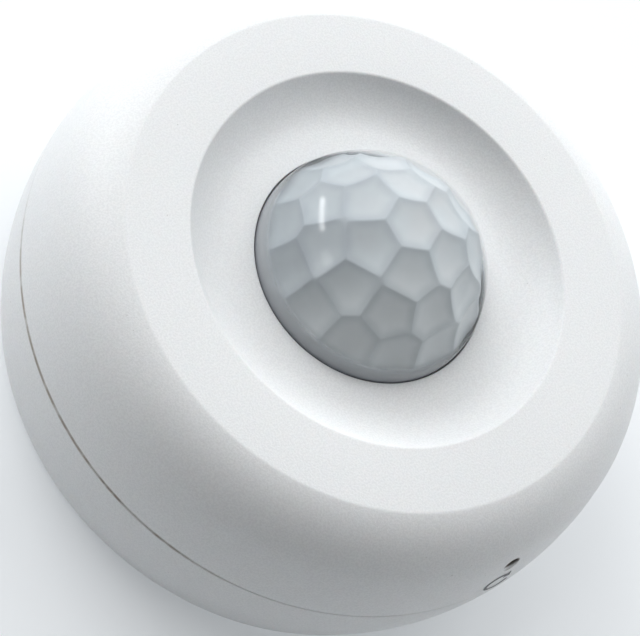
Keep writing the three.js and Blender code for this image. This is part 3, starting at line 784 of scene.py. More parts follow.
def cover_profile():
    """The cover's section: up the side, over the shoulder, down the dish, and back along the inside."""
    rebate_r = SPIGOT_OUT_R + GAP
    rebate_top = SPIGOT_TOP + GAP
    dish_centre_z = DISH_Z + DISH_ARC_R
    dish_r = RIM_R - math.sqrt(DISH_ARC_R**2 - (dish_centre_z - FACE_Z) ** 2)
    rim_angle = -math.degrees(math.asin((dish_centre_z - FACE_Z) / DISH_ARC_R))
    under_r = DISH_ARC_R + WALL
    under_angle = -math.degrees(math.asin((dish_centre_z - FACE_Z + WALL) / under_r))
    return [
        (rebate_r, COVER_EDGE_Z, 0.1),
        (side_radius(COVER_EDGE_Z), COVER_EDGE_Z, 0.1),
        *upper_side(0, COVER_EDGE_Z + 0.8, 30)[:-1],
        *shoulder(0, 24)[:-1],
        (*shoulder(0, 1)[-1], 1.6),
        (RIM_R, FACE_Z, 0.5),
        *arc(dish_r, dish_centre_z, DISH_ARC_R, rim_angle - 9, -90, 18),
        (LENS_HOLE_R, DISH_Z, 0.16),
        (LENS_HOLE_R, DISH_Z - WALL, 0.2),
        *arc(dish_r, dish_centre_z, under_r, -90, under_angle, 14),
        *reversed(shoulder(WALL, 12)),
        *list(reversed(upper_side(WALL, rebate_top, 16)))[1:],
        (rebate_r, rebate_top, 0.1),
    ]


def front_cover():
    shell = turned_soft("front_cover_shell", cover_profile())
    additions = []
    for angle in KEY_ANGLES:
        key = block("key", (SPIGOT_IN_R + GAP, -KEY_W / 2, COVER_EDGE_Z + 0.4),
                    (SPIGOT_OUT_R + 0.9, KEY_W / 2, SPIGOT_TOP + 1))
        additions.append(moved(key, turn=about("Z", angle)))
    additions += rods(EAR_PLACES, 3, RING_HIGH.z + GAP, DISH_Z - 0.8, 0.2)
    tamper_x, tamper_y, _ = middle_of(TAMPER_LOW, TAMPER_HIGH)
    additions += rods([(tamper_x, tamper_y)], 2.6, TAMPER_HIGH.z + GAP, FACE_Z - 1.5, 0.2)
    cuts = rods(EAR_PLACES, EAR_HOLE_R, RING_HIGH.z, DISH_Z - 0.6)
    inside, outside, skin = 38, 48, side_radius(RESET_Z)
    pinhole = turned("pinhole", [
        (0, inside), (PINHOLE_R, inside), (PINHOLE_R, skin - 0.2), (PINHOLE_R + 0.5, skin + 0.3),
        (0, outside)], 48)
    cuts.append(moved(pinhole, z=RESET_Z, turn=about("X", 90)))
    join(shell, *additions)
    cut(shell, *cuts)
    finish_piece(shell, WHITE, "front_cover", "cover")


def on_side(degrees, z):
    """A point just proud of the cover's side."""
    proud = 0.04
    x, y = on_circle(side_radius(z) + proud, degrees)
    return x, y, z


def reset_symbol():
    """A printed circular arrow under the pinhole: bands of narrow quads laid on the curved side."""
    centre_z, radius, stroke, head_half_w = 21.0, 2.0, 0.52, 0.85
    start, sweep, steps = 60, 285, 40  # degrees, anticlockwise from the arrow's head
    verts = []
    faces = []

    def point(angle, r):
        u, v = r * math.cos(angle), r * math.sin(angle)
        return on_side(-90 + math.degrees(u / side_radius(centre_z)), centre_z + v)

    for i in range(steps + 1):
        angle = math.radians(start + sweep * i / steps)
        verts += [point(angle, r) for r in (radius - stroke / 2, radius + stroke / 2)]
    for i in range(steps):
        faces.append([2 * i, 2 * i + 1, 2 * i + 3, 2 * i + 2])
    tip, base = math.radians(start - 34), math.radians(start + 2)
    first = len(verts)
    verts += [point(base, r) for r in (radius - head_half_w, radius + head_half_w)]
    verts.append(point(tip, radius))
    faces.append([first, first + 2, first + 1])
    symbol = thickened(make_object("reset_symbol", verts, faces), 0.03, 0)
    finish_piece(symbol, PRINT, body="cover")


# ---------- lens ----------


def cell_directions():
    """Middles of the lens cells: one at the pole, rings round it, and a guard ring that isn't drawn."""
    # angle from the pole, number of cells, and turn of the first one
    rings = ((0, 1, 0), (25.3, 6, 2), (45.3, 11, 3), (65.6, 14, 14), (90.5, 14, 14))
    directions = []
    for ring, (polar, count, first) in enumerate(rings):
        for i in range(count):
            azimuth = first + 360 * i / count
            wobble = random.uniform(-1, 1) if 0 < ring < GUARD_RING else 0
            tilt = math.radians(polar + 0.7 * wobble)
            turn = math.radians(azimuth + (1.5 * random.uniform(-1, 1) if 0 < ring < 3 else 0))
            unit = Vector((math.sin(tilt) * math.cos(turn), math.sin(tilt) * math.sin(turn), math.cos(tilt)))
            directions.append((ring, unit))
    return directions


def cell_outline(centre, others):
    """Corners of the cell round a direction: what lies nearer to it than to the others."""
    side = centre.orthogonal().normalized()
    up = centre.cross(side)
    reach = 1.2
    corners = [(-reach, -reach), (reach, -reach), (reach, reach), (-reach, reach)]
    corners = [centre + side * a + up * b for a, b in corners]
    for other in others:
        away = centre - other
        kept = []
        for i, here in enumerate(corners):
            last = corners[i - 1]
            here_in, last_in = here.dot(away), last.dot(away)
            if (here_in > 0) != (last_in > 0):
                kept.append(last.lerp(here, last_in / (last_in - here_in)))
            if here_in > 0:
                kept.append(here)
        corners = kept
    return [c.normalized() for c in corners]


def lens_cells():
    """The inside of the lens: each cell bulges inwards, so sharp ridges stand between the cells."""
    floor_r, highest_r, skirt_r, bulge, steps_along = 15.9, 17.15, 17.05, 2.5, 8
    directions = cell_directions()
    mesh = bmesh.new()
    ridge = mesh.verts.layers.float.new(RIDGE)
    centre = Vector((0, 0, DOME_Z))

    def surface(direction, middle):
        radius = floor_r * (1 + bulge * (1 - direction.dot(middle)))
        return (centre + direction * min(radius, highest_r)) * MM

    for ring, middle in directions:
        if ring == GUARD_RING:
            continue
        others = [d for _, d in directions if d != middle and d.dot(middle) > 0.3]
        corners = cell_outline(middle, others)
        rim = []
        for i, corner in enumerate(corners):
            following = corners[(i + 1) % len(corners)]
            rim += [corner.slerp(following, k / steps_along) for k in range(steps_along)]
        loops = []
        for share in (0.2, 0.4, 0.6, 0.75, 0.87, 0.94, 1):  # closer together near the ridge
            loop = [mesh.verts.new(surface(middle.lerp(p, share).normalized(), middle)) for p in rim]
            loops.append(loop)
            for vertex in loop:
                vertex[ridge] = share
        hub = mesh.verts.new(surface(middle, middle))
        count = len(rim)
        for i in range(count):
            j = (i + 1) % count
            mesh.faces.new((hub, loops[0][i], loops[0][j]))
            for inner, outer in zip(loops, loops[1:]):
                mesh.faces.new((inner[i], outer[i], outer[j], inner[j]))
    bmesh.ops.remove_doubles(mesh, verts=mesh.verts, dist=CELL_WELD)
    below = {}  # the skirt's lower corner under each corner of the open edge
    for edge in [e for e in mesh.edges if e.is_boundary]:
        a, b = edge.verts
        for v in (a, b):
            if v not in below:
                flat = Vector((v.co.x, v.co.y, 0)).normalized() * skirt_r * MM
                below[v] = mesh.verts.new((flat.x, flat.y, (LENS_LOW.z + 1.4) * MM))
        mesh.faces.new((a, b, below[b], below[a]))
    bmesh.ops.recalc_face_normals(mesh, faces=mesh.faces)
    if mesh.faces[0].normal.dot(mesh.faces[0].calc_center_median() - centre * MM) < 0:
        bmesh.ops.reverse_faces(mesh, faces=mesh.faces)
    data = bpy.data.meshes.new("lens_cells")
    mesh.to_mesh(data)
    mesh.free()
    finish_piece(thickened(linked("lens_cells", data), 0.35, -1), FACETS, body="cover", crease=60)


def lens_dome():
    """The smooth outside of the lens and its flange."""
    inner_r, flange_in_r = DOME_R - 0.22, 16.4
    flange_top = LENS_LOW.z + 1.1
    dome = turned_soft("lens_dome", [
        (flange_in_r, LENS_LOW.z, 0.1),
        (FLANGE_R, LENS_LOW.z, 0.2),
        (FLANGE_R, flange_top, 0.2),
        (DOME_R, flange_top, 0.3),
        *arc(0, DOME_Z, DOME_R, 2, 90, 60),
        *arc(0, DOME_Z, inner_r, 90, 2, 56),
        (inner_r, flange_top - 0.3, 0.1),
        (flange_in_r, flange_top - 0.3, 0.1),
    ])
    finish_piece(dome, SKIN, "fresnel_lens", "cover")


# ---------- hardware ----------


def ceiling_bracket():
    top, rib_top, hole_r = 2.2, 3.2, 9
    plate = turned_soft("ceiling_bracket_plate", [
        (hole_r, 0, 0.25),
        (33, 0, 0.35),
        (33, top, 0.35),
        (30.8, top, 0.15),
        (30.8, rib_top, 0.3),
        (29.4, rib_top, 0.3),
        (29.4, top, 0.15),
        (hole_r, top, 0.25),
    ])
    spans = [(angle - LUG_HALF_ANGLE, angle + LUG_HALF_ANGLE) for angle in BAYONET_ANGLES]
    join(plate, *[sector("web", 31.2, 33.4, *span, 1, 4) for span in spans])
    join(plate, *[sector("tab", 32, 36.6, *span, 2.6, 4) for span in spans])
    slots = [prism("slot", slot_outline(x, 0, 5, 12), -1, 5) for x in (-22, 22)]
    cut(plate, *slots, *rods([(0, -22), (0, 22)], 2.25, -1, 5))
    bevelled(plate, 0.2, angle=60)
    finish_piece(plate, WHITE, "ceiling_bracket", "bracket")


def lens_retainer():
    low, top, inner, outer = RING_LOW.z, RING_HIGH.z, 16.6, 22.6
    ring = turned_soft("lens_retainer_ring", [
        (inner, low, 0.25), (outer, low, 0.25), (outer, top, 0.2), (inner, top, 0.2)])
    join(ring, *rods(EAR_PLACES, 3, low, top, 0.25))
    cut(ring, *rods(EAR_PLACES, EAR_HOLE_R, low - 1, top + 1))
    finish_piece(ring, WHITE_INNER, "lens_retainer", "cover")


def cross_outline(arm, slit):
    """A cross with arms of a length and of half width slit."""
    quarter = [(slit, slit), (slit, arm), (-slit, arm)]
    corners = []
    for cos, sin in ((1, 0), (0, 1), (-1, 0), (0, -1)):
        corners += [(cos * x - sin * y, sin * x + cos * y) for x, y in quarter]
    return corners


def pan_head_screw(node, place, seat_z, tip_z, shank_r, head_r, body="rear_unit"):
    """A self-tapping screw with a cross recess, its head on a seat above or below its tip."""
    head_t = head_r * 0.62
    head_z = seat_z + (head_t if seat_z > tip_z else -head_t)
    length = abs(tip_z - head_z)
    core_r, pitch = shank_r * 0.76, 0.9
    profile = [(0, -length), (core_r * 0.5, -length + 0.25), (core_r, -length + 1.1)]
    z = -length + 1.3
    while z + pitch < -head_t - 0.3:
        profile += [(core_r, z), (shank_r, z + 0.38 * pitch), (shank_r, z + 0.5 * pitch),
                    (core_r, z + 0.85 * pitch)]
        z += pitch
    head = soften([(core_r, z), (core_r, -head_t, 0.05), (head_r, -head_t, 0.1),
                   (head_r, -head_t * 0.55, head_t * 0.4), (head_r * 0.55, -head_t * 0.08, head_t * 0.6),
                   (0, 0)], closed=False)
    piece = turned(node + "_body", profile + head[1:], 64)
    cut(piece, prism("cross", cross_outline(head_r * 0.6, head_r * 0.13), -head_t * 0.65, 1))
    over = None if seat_z > tip_z else about("X", 180)
    finish_piece(moved(piece, *place, head_z, over), STEEL, node, body)


# ---------- circuit board ----------


def main_board():
    edge = math.degrees(math.asin(15.6 / BOARD_R))  # the straight side leaves room for the cell
    outline = arc(0, 0, BOARD_R, 180 - edge, 360 + edge, 160)
    board = prism("main_board_laminate", outline, BOARD_LOW.z, BOARD_HIGH.z)
    low, high = BOARD_LOW.z - 1, BOARD_HIGH.z + 1
    cut(board, *rods(BOSS_PLACES, SCREW_HOLE_R, low, high), *rods(PIR_LEADS, 0.6, low, high, steps=24))
    bevelled(board, 0.06, 1, 60)
    finish_piece(board, BOARD, "main_board")


def flat_rings(places, inner, outer, steps=48):
    """Round printed rings on the board, one at each place."""
    low, high = BOARD_HIGH.z, BOARD_HIGH.z + PRINT_T
    profile = [(inner, low), (outer, low), (outer, high), (inner, high)]
    return [moved(turned("ring", profile, steps), x, y) for x, y in places]


def printed_frame(x0, y0, x1, y1):
    """A flat printed ring round a rectangle on the board."""
    rings = []
    for inset in (0, 0.2):
        left, right, near, far = x0 + inset, x1 - inset, y0 + inset, y1 - inset
        rings.append([(left, near), (right, near), (right, far), (left, far)])
    outer, inner = rings
    low, high = BOARD_HIGH.z, BOARD_HIGH.z + PRINT_T
    section = ((outer, low), (outer, high), (inner, high), (inner, low))
    verts = [(x, y, z) for ring, z in section for x, y in ring]
    faces = []
    for start, above in ((0, 4), (4, 8), (8, 12), (12, 0)):
        for i in range(4):
            j = (i + 1) % 4
            faces.append([start + i, start + j, above + j, above + i])
    return make_object("frame", verts, faces)


def board_printing():
    """Printed outlines round the fitted parts, and the pads round the screw holes."""
    parts = []
    for place, radius in (((24, -26), 3.6), ((31, -17), 2.95), ((0, 0), 5.4), (LED_PLACE, 2.3)):
        parts += flat_rings([place], radius, radius + 0.2, 64)
    frames = ((11.2, -25.8, 20.8, -16.2), (-3.6, -40.1, 3.6, -35.4), (-13.1, -37.6, -5.9, -30.4),
              (28.4, -7.6, 35.6, -0.4), (-36.5, -15.5, -23.5, 1.5))
    parts += [printed_frame(*frame) for frame in frames]
    finish_piece(merged("board_printing", parts), LEGEND)
    pads = flat_rings(BOSS_PLACES, 1.5, 2.9)
    test_pads = [(x, -28) for x in (-18, -15.5, -13)] + [(x, 9) for x in (12, 14.5, 17)]
    pads += flat_rings(test_pads, 0.45, 0.95, 32)
    finish_piece(merged("board_pads", pads), GOLD)


def chip_parts():
    """Small surface-mounted resistors and capacitors round the microcontroller and the sensor."""
    # X, Y and turn of each part
    places = ((10, -14, 0), (13, -14, 0), (16, -14, 0), (19, -14, 0), (8, -20, 90), (8, -23, 90),
              (23, -19, 90), (6.5, 7.5, 0), (-3, 8.5, 0), (-6.5, -7, 90), (7.5, -6.5, 90), (10, -6.5, 90),
              (-19, -19, 0), (-19, -22, 0), (22, 3, 90), (24.6, 3, 90), (-16, 6, 0))
    low, reach = BOARD_HIGH.z + 0.05, 0.92
    resistors, capacitors, ends = [], [], []
    for i, (x, y, turn) in enumerate(places):
        body = block("chip", (-0.75, -0.42, low), (0.75, 0.42, low + 0.45))
        kind = capacitors if i % 3 == 1 else resistors
        kind.append(moved(body, x, y, turn=about("Z", turn)))
        for side in (-reach, reach):
            end = block("chip_end", (-0.22, -0.45, low - 0.03), (0.22, 0.45, low + 0.5), 0.06)
            end_x, end_y = (x, y + side) if turn else (x + side, y)
            ends.append(moved(end, end_x, end_y, turn=about("Z", turn)))
    finish_piece(merged("chip_resistors", resistors), CHIP)
    finish_piece(merged("chip_capacitors", capacitors), CERAMIC)
    finish_piece(merged("chip_ends", ends), SOLDER)


def solder_joints():
    """Cones of solder where the leads come through the underside of the board."""
    places = [*PIR_LEADS, *LED_PINS, (22.75, -26), (25.25, -26), (30, -17), (32, -17)]
    places += [(-2.2, -38.6), (2.2, -38.6), (-12, -36.5), (-7, -36.5), (-12, -31.5), (-7, -31.5)]
    places += [(29.6, -5.27), (29.6, -2.73), (34.4, -5.27), (34.4, -2.73)]
    low = BOARD_LOW.z
    profile = [(0, low - 1.1), (0.3, low - 1.05, 0.1), (0.36, low - 0.6, 0.3), (0.85, low - 0.05, 0.1),
               (0.85, low), (0, low)]
    joints = [moved(turned_soft("joint", profile, 24), x, y) for x, y in places]
    finish_piece(merged("solder_joints", joints), SOLDER)


def pir_parts():
    """The sensor can with its tab and leads, the dark filter in its top, and the spacer under it."""
    low, top, rim_r, can_r = 25.3, 29.5, 4.6, 4.1
    can = turned_soft("pir_can", [
        (0, low), (rim_r, low, 0.1), (rim_r, low + 0.5, 0.12), (can_r, low + 0.5, 0.1), (can_r, top, 0.32),
        (0, top)], 96)
    join(can, moved(block("tab", (4.2, -0.45, low), (5.0, 0.45, low + 0.5), 0.1), turn=about("Z", 45)))
    cut(can, block("pocket", (-2.1, -1.6, top - 0.6), (2.1, 1.6, top + 1), 0.35))
    leads = rods(PIR_LEADS, 0.25, BOARD_LOW.z - 1, low - 0.02, 0.05, 20)
    finish_piece(merged("pir_can_and_leads", [can, *leads]), STEEL, "pir_sensor")
    pane = block("pir_filter", (-1.95, -1.45, top - 0.45), (1.95, 1.45, top - 0.1), 0.25)
    finish_piece(bevelled(pane, 0.04), BLACK, "pir_window")
    base, above, inner, outer = PARTS_Z, low - GAP, 3.3, 4.9
    spacer = turned_soft("pir_spacer_ring", [
        (inner, base, 0.1), (outer, base, 0.15), (outer, above, 0.15), (inner, above, 0.1)], 96)
    cut(spacer, *[moved(block("gap", (3, -0.6, base + 0.5), (5.5, 0.6, above + 1)), turn=about("Z", angle))
                  for angle in (60, 180, 300)])
    finish_piece(spacer, NYLON, "pir_spacer")


def status_led():
    radius, rim_top = 1.5, PARTS_Z + 0.9
    foot = soften([(0, PARTS_Z), (1.9, PARTS_Z, 0.1), (1.9, rim_top, 0.15), (radius, rim_top)], closed=False)
    led = turned("led_lamp", foot + arc(0, PARTS_Z + 3, radius, 0, 90, 16), 48)
    finish_piece(moved(led, *LED_PLACE), LED, "status_led")
    pins = rods(LED_PINS, 0.22, BOARD_LOW.z - 0.8, PARTS_Z - 0.02, 0.05, 16)
    finish_piece(merged("led_pins", pins), SOLDER)


def radio_parts():
    """The radio's small board with its notched edge, the drawn can over it, and the soldered edge."""
    pads, pad_pitch = 6, 1.27
    low, high = box_mm("radio_board")
    board = block("radio_laminate", low, high, 0.4)
    notches = [(low.x + 2.4 + pad_pitch * i, high.y) for i in range(pads)]
    cut(board, *rods(notches, 0.3, low.z - 1, high.z + 1, steps=16))
    finish_piece(bevelled(board, 0.05, 1), RADIO_BOARD, "radio_board")
    low, high = box_mm("radio_shield")
    wall = 0.25
    can = block("radio_can", low, high, 0.7)
    cut(can, block("inner", (low.x + wall, low.y + wall, low.z - 1),
                   (high.x - wall, high.y - wall, high.z - wall), 0.5))
    vents = [(low.x + 2 + 2 * i, low.y + 3 + 2 * j) for i in range(4) for j in range(3)]
    cut(can, *rods(vents, 0.32, high.z - 1, high.z + 1, steps=20))
    finish_piece(bevelled(can, 0.12, 2, 60), DULL_STEEL, "radio_shield")
    beads = [(-33.6 + pad_pitch * i, 1.55) for i in range(pads)]
    joints = rods(beads, 0.45, BOARD_HIGH.z + 0.02, PARTS_Z + 0.5, 0.2, 20)
    finish_piece(merged("radio_joints", joints), SOLDER)


def helix(radius0, radius1, length, turns, steps, wire):
    """Points of a coil along X whose end turns close up against the next ones."""
    points = []
    for i in range(steps + 1):
        t = i / steps
        closed_up = min(1, t * turns, (1 - t) * turns)
        angle = 2 * math.pi * turns * t
        radius = radius0 + (radius1 - radius0) * t
        squeeze = wire * (1 - closed_up) * 0.5
        x = length * t + (squeeze if t < 0.5 else -squeeze)
        points.append((x, radius * math.cos(angle), radius * math.sin(angle)))
    return points


def antenna_coil():
    length, radius, angle = 13, 2, 228
    coil = tube("antenna_winding", helix(radius, radius, length, 6, 240, 0.2), 0.4, 5)
    x, y = on_circle(36.4, angle)
    moved(coil, x=-length / 2)
    moved(coil, x, y, PARTS_Z + 2.5, about("Z", angle + 90))
    finish_piece(coil, COPPER, "antenna_coil", crease=60)


def microcontroller():
    """A square chip with eight bent leads on each side."""
    low, high = box_mm("microcontroller")
    mid = (low + high) / 2
    inset, leads, pitch = 0.75, 8, 0.62
    body = block("controller_body", (low.x + inset, low.y + inset, low.z + 0.12),
                 (high.x - inset, high.y - inset, high.z), 0.15)
    cut(body, moved(rod("dimple", 0.35, high.z - 0.1, high.z + 1, 0.02, 32), low.x + 1.7, high.y - 1.7))
    bevelled(body, 0.12)
    finish_piece(body, CHIP, "microcontroller")
    pins = []
    half = (high.x - low.x) / 2
    for turn in range(4):
        for i in range(leads):
            side = (i - (leads - 1) / 2) * pitch
            path = [(half - inset - 0.1, side, low.z + 0.62), (half - 0.5, side, low.z + 0.62),
                    (half - 0.36, side, low.z - 0.12), (half + 0.1, side, low.z - 0.16)]
            pins.append(moved(tube("pin", path, 0.11, 1), mid.x, mid.y, turn=about("Z", 90 * turn)))
    finish_piece(merged("controller_pins", pins), SOLDER)


def capacitor(node, radius):
    """A can capacitor: grooved sleeve with a stripe, scored lid, and the rubber bung under it."""
    low, high = box_mm(node)
    x, y, _ = middle_of(low, high)
    base, top = low.z, high.z
    lip_r, lid_r, bung_r = radius - 0.75, radius - 0.78, radius - 0.95
    pieces = []
    pieces.append((turned_soft(node + "_sleeve", [
        (radius - 0.6, base + 0.12, 0.05), (radius, base + 0.12, 0.25), (radius, base + 0.9, 0.25),
        (radius - 0.35, base + 1.2, 0.3), (radius, base + 1.5, 0.3), (radius, top - 0.05, 0.45),
        (lip_r, top - 0.05, 0.05), (lip_r, top - 0.3, 0.02), (radius - 0.9, top - 0.3, 0.02),
        (radius - 0.9, base + 0.3, 0.02)], 96), SLEEVE, node))
    lid = turned_soft(node + "_lid", [
        (0, top - 0.5), (lid_r, top - 0.5, 0.05), (lid_r, top - 0.12, 0.1), (0, top - 0.12)], 64)
    cut(lid, prism("score", cross_outline(radius * 0.5, 0.07), top - 0.2, top + 1))
    pieces.append((lid, DULL_STEEL, None))
    stripe = sector(node + "_stripe", radius - 0.05, radius + 0.03, 120, 165, base + 1.7, top - 0.7, 16)
    pieces.append((stripe, STRIPE, None))
    pieces.append((turned_soft(node + "_bung", [
        (0, base), (bung_r, base, 0.1), (bung_r, base + 0.6, 0.1), (0, base + 0.6)], 48), RUBBER, None))
    for piece, look, stands_for in pieces:
        finish_piece(moved(piece, x, y), look, stands_for)


def along_y(obj, y0, x, z):
    """Lays an upright turned part along Y, its lower end at y0."""
    return moved(obj, x, y0, z, about("X", -90))


def reset_parts():
    """The push switch behind the pinhole: body, steel face and plunger."""
    low, high = box_mm("reset_switch")
    mouth_r = 1.6
    body = block("reset_switch_body", (low.x, low.y + 0.3, low.z), high, 0.3)
    cut(body, along_y(rod("well", mouth_r, 0, 3.2, 0.05), -40.6, 0, RESET_Z))
    bevelled(body, 0.12)
    finish_piece(body, BLACK, "reset_switch")
    face = block("reset_switch_face", (low.x + 0.1, low.y, low.z + 0.2),
                 (high.x - 0.1, low.y + 0.28, high.z - 0.1), 0.05)
    cut(face, along_y(rod("mouth", mouth_r, 0, 3), -41, 0, RESET_Z))
    finish_piece(bevelled(face, 0.06), STEEL)
    radius, length = 1.3, RESET_HIGH.y - RESET_LOW.y
    plunger = turned_soft("reset_button_cap", [
        (0, 0), (0.95, 0, 0.15), (radius, 0.4, 0.2), (radius, length, 0.1), (0, length)], 48)
    finish_piece(along_y(plunger, RESET_LOW.y, 0, RESET_Z), BLACK, "reset_plunger", "reset_button")


def tamper_parts():
    """The switch that the cover holds down: body, steel lid with four studs, and plunger."""
    low, high = box_mm("tamper_switch")
    x, y, _ = middle_of(TAMPER_LOW, TAMPER_HIGH)
    mouth_r, stud_reach = 2, 2.45
    body = block("tamper_switch_body", low, (high.x, high.y, high.z - 0.3), 0.35)
    cut(body, *rods([(x, y)], mouth_r, PARTS_Z + 1, PARTS_Z + 5))
    bevelled(body, 0.12)
    finish_piece(body, BLACK, "tamper_switch")
    lid = block("tamper_switch_lid", (low.x + 0.05, low.y + 0.05, high.z - 0.28),
                (high.x - 0.05, high.y - 0.05, high.z), 0.4)
    cut(lid, *rods([(x, y)], mouth_r, high.z - 2, high.z + 2))
    finish_piece(bevelled(lid, 0.06), STEEL)
    corners = [(x + dx, y + dy) for dx in (-stud_reach, stud_reach) for dy in (-stud_reach, stud_reach)]
    studs = rods(corners, 0.28, high.z - 0.02, high.z + 0.12, 0.06, 20)
    finish_piece(merged("tamper_studs", studs), BLACK)
    plunger = rod("tamper_button_cap", 1.7, TAMPER_LOW.z, TAMPER_HIGH.z, 0.25)
    finish_piece(moved(plunger, x, y), NYLON, "tamper_plunger", "tamper_button")


def dip_parts():
    """A two-way slide switch: body with two slots, four legs and two sliders."""
    low, high = box_mm("dip_switch")
    x, y, _ = middle_of(low, high)
    rows = (y - 1.27, y + 1.27)
    body = block("dip_switch_body", low, high, 0.12)
    cut(body, *[block("slot", (x - 1.5, row - 0.8, high.z - 1.3), (x + 1.5, row + 0.8, high.z + 1))
                for row in rows])
    finish_piece(bevelled(body, 0.1), DIP_RED, "dip_switch")
    legs = []
    for leg_x in (x - 2.4, x + 2.4):
        legs += [block("leg", (leg_x - 0.12, row - 0.25, BOARD_LOW.z - 0.9),
                       (leg_x + 0.12, row + 0.25, low.z + 0.3)) for row in rows]
    finish_piece(merged("dip_legs", legs), SOLDER)
    for i in (1, 2):
        low, high = box_mm(f"dip_slider_{i}")
        slider = block(f"dip_slider_{i}_cap", low, high, 0.12)
        finish_piece(bevelled(slider, 0.1), NYLON, f"dip_slider_{i}", f"dip_lever_{i}")


# ---------- battery ----------


def battery_holder():
    """A tub with low sides, higher ends, a finger scoop at the front and a lift hole in the floor."""
    low, high = box_mm("battery_holder")
    side_top, wall = 16, 1.4
    tub = block("holder_tub", low, (high.x, high.y, side_top), 0.8)
    inner = block("inner", (low.x + wall, low.y + wall, low.z + wall),
                  (high.x - wall, high.y - wall, high.z + 1), 0.5)
    ends = [block("end", (x, low.y, side_top - 3), (x + wall, high.y, high.z), 0.3)
            for x in (low.x, high.x - wall)]
    mid_y = (low.y + high.y) / 2
    scoop = moved(rod("scoop", 8.8, -wall * 4, wall * 4, 0.05, 64), turn=about("X", 90))
    moved(scoop, 0, low.y, 21.5)
    lift = block("lift", (-5, mid_y - 3, low.z - 1), (5, mid_y + 3, low.z + wall + 1), 2.9)
    cut(tub, inner)
    join(tub, *ends)
    cut(tub, scoop, lift)
    finish_piece(bevelled(tub, 0.2, 2, 60), BLACK, "battery_holder")


def along_x(obj, x0, y, z):
    """Lays an upright turned part along X, its lower end at x0."""
    return moved(obj, x0, y, z, about("Y", 90))


def battery_cell():
    """The cell's shrink wrap, and the steel can that shows at its two ends."""
    low, high = box_mm("battery_cell")
    _, y, z = middle_of(low, high)
    radius, length, nub = (high.z - low.z) / 2, high.x - low.x - 0.9, high.x - low.x
    hole_r, can_r, cap_r = radius - 1.7, radius - 1.75, 3.1
    wrap = turned_soft("cell_wrap", [
        (hole_r, 0.12, 0.05), (radius, 0.12, 0.5), (radius, length, 0.6), (radius - 1.6, length, 0.1),
        (radius - 1.6, length - 0.3, 0.04), (hole_r, length - 0.3, 0.04)], 128)
    finish_piece(along_x(wrap, low.x, y, z), WRAP, "battery_cell")
    can = turned_soft("cell_ends", [
        (0, 0.02), (radius - 2.2, 0.02, 0.2), (can_r, 0.3, 0.1), (can_r, length - 0.35, 0.1),
        (3.6, length - 0.35, 0.2), (cap_r, length - 0.1, 0.2), (cap_r, nub, 0.25), (0, nub)], 96)
    finish_piece(along_x(can, low.x, y, z), STEEL)


def battery_contacts():
    """The flat contact at one end of the cell, and the sprung one at the other."""
    low, high = box_mm("battery_plate")
    y, z = (low.y + high.y) / 2, 18
    plate = block("positive_plate", low, high, 0.1)
    finish_piece(bevelled(plate, 0.1), STEEL, "battery_plate")
    low, high = box_mm("battery_spring")
    plate = bevelled(block("spring_plate", low, (low.x + 0.4, high.y, high.z), 0.1), 0.1)
    coil = tube("coil", helix(4.4, 2.2, high.x - low.x - 1.1, 3, 150, 0.2), 0.4, 5)
    moved(coil, low.x + 0.7, y, z)
    finish_piece(merged("spring_and_plate", [plate, coil]), STEEL, "battery_spring", crease=50)


def battery_leads():
    """Two short soldered wires from the contacts to the board."""
    y, top = 12, BOARD_HIGH.z
    for node, side, look in (("battery_lead_positive", 1, RED_WIRE),
                             ("battery_lead_negative", -1, BLACK_WIRE)):
        x = side * 28
        path = smooth_path([(side * 23, 24.6, 19), (side * 24.6, 22.6, 22.6), (side * 27, 18.6, 25.4),
                            (side * 28.4, 15, 26.2), (x, y + 0.6, PARTS_Z + 0.2)])
        finish_piece(tube(node + "_wire", path, 0.6, 6), look, node, crease=60)
        tinned = smooth_path([(x, y + 0.9, PARTS_Z + 0.6), (x, y + 0.4, PARTS_Z - 0.1), (x, y, top + 0.2)], 4)
        bead = turned_soft("bead", [
            (0, top), (1.1, top, 0.05), (0.4, top + 0.7, 0.3), (0, top + 0.75)], 32)
        finish_piece(merged(node + "_joint", [tube("tinned", tinned, 0.3), moved(bead, x, y)]), SOLDER)


# ---------- picture ----------


def place_camera():
    """A camera in front of the sensor and below it, turned about its line of sight."""
    place = Vector((-184.1, -62.9, 306.3)) * MM
    forward = Vector((0.5230, 0.1780, -0.8336)).normalized()
    right = forward.cross(Vector((0.3187, 0.8662, 0.3849))).normalized()
    turn = Matrix((right, right.cross(forward), -forward)).transposed().to_4x4()
    data = bpy.data.cameras.new("camera")
    data.lens = 135
    data.sensor_width = 36
    data.clip_start = 0.01
    camera = linked("camera", data)
    camera.matrix_world = Matrix.Translation(place) @ turn
    bpy.context.scene.camera = camera


def lay_floor():
    """A plain pale floor; it gives off a little light, which keeps the shadow faint."""
    look = Look("floor")
    look.set(Base_Color=look.blend(look.noise(60, 2), (0.65, 0.66, 0.67), (0.67, 0.68, 0.69)), Roughness=0.9)
    look.set(Emission_Color=(0.92, 0.965, 1, 1), Emission_Strength=0.26)
    side, top = 3000, -0.05
    corners = [(-side, -side, top), (side, -side, top), (side, side, top), (-side, side, top)]
    floor = make_object("floor", corners, [[0, 1, 2, 3]])
    floor.data.materials.append(look.material)


def area_light(name, direction, distance, width, height, power, colour=(1, 1, 1), along=(1, 0, 0)):
    """A light facing the sensor from a direction, at a distance in metres, its width along a given way."""
    data = bpy.data.lights.new(name, "AREA")
    data.shape = "RECTANGLE"
    data.size = width
    data.size_y = height
    data.energy = power
    data.color = colour
    light = linked(name, data)
    aim = Vector((0, 0, 0.018))
    back = Vector(direction).normalized()
    across = Vector(along).cross(back).cross(back).normalized()
    turn = Matrix((across, back.cross(across), back)).transposed().to_4x4()
    light.matrix_world = Matrix.Translation(aim + back * distance) @ turn
    return light


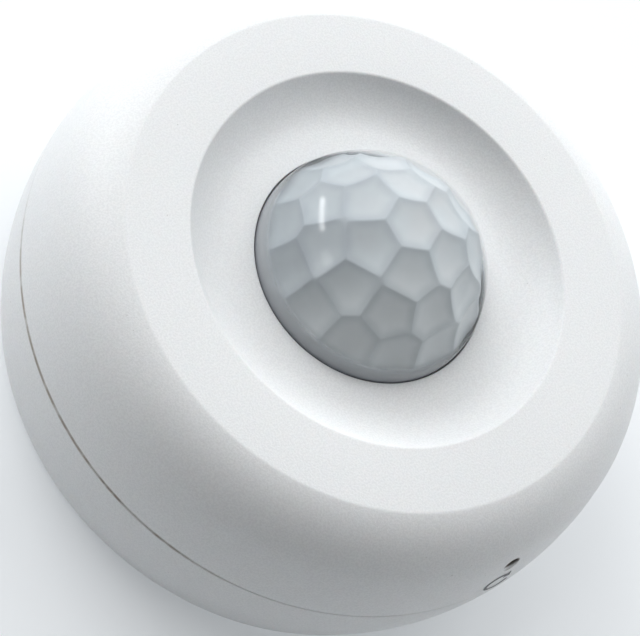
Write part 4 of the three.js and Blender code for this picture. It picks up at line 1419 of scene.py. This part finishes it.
# Name, azimuth and height in degrees, and power in watts
SOFT_BOXES = (
    ("key", 92, 25, 9.2),
    ("key_side", 45, 25, 4.6),
    ("right_side", 0, 25, 4.2),
    ("right_low", 315, 25, 2.5),
    ("upper_left", 110, 55, 6.2),
    ("upper_right", 15, 55, 3.2),
    ("top", 0, 90, 1.2),
)


def set_light():
    world = bpy.data.worlds.new("studio")
    world.use_nodes = True
    background = world.node_tree.nodes["Background"]
    background.inputs["Color"].default_value = (0.95, 0.975, 1, 1)
    background.inputs["Strength"].default_value = 0.05
    bpy.context.scene.world = world
    low_height, box_distance, box_side = 40, 1.2, 0.9
    for name, azimuth, height, power in SOFT_BOXES:
        x, y = on_circle(math.cos(math.radians(height)), azimuth)
        direction = (x, y, math.sin(math.radians(height)))
        colour = (0.95, 0.98, 1) if height < low_height else (1, 1, 1)
        box = area_light(name, direction, box_distance, box_side, box_side, power, colour)
        box.visible_glossy = False
    lens_way = (-0.5, -0.33, 0.29)  # along the highlight that the two small lights put on the lens
    streak = area_light("streak", (-0.37, 0.85, 0.38), distance=0.5, width=0.30, height=0.036, power=0.6,
                        along=lens_way)
    glow = area_light("glow", (-0.79, 0.30, 0.53), distance=0.5, width=0.11, height=0.08, power=0.13,
                      along=lens_way)
    for light in (streak, glow):
        light.visible_diffuse = False
    view = bpy.context.scene.view_settings
    view.view_transform = "Standard"
    view.look = "None"


rear_housing()
front_cover()
reset_symbol()
lens_cells()
lens_dome()
lens_retainer()
for number, place in enumerate(EAR_PLACES, 1):
    pan_head_screw(f"retainer_screw_{number}", place, RING_LOW.z - GAP, DISH_Z - 1, 1, 1.75, "cover")
for number, place in enumerate(BOSS_PLACES, 1):
    pan_head_screw(f"board_screw_{number}", place, PARTS_Z, BOARD_LOW.z - 7, 1.15, 2.2)
ceiling_bracket()
main_board()
board_printing()
chip_parts()
solder_joints()
pir_parts()
status_led()
radio_parts()
antenna_coil()
microcontroller()
capacitor("capacitor_large", 3.15)
capacitor("capacitor_small", 2.5)
reset_parts()
tamper_parts()
dip_parts()
battery_holder()
battery_cell()
battery_contacts()
battery_leads()
place_camera()
lay_floor()
set_light()
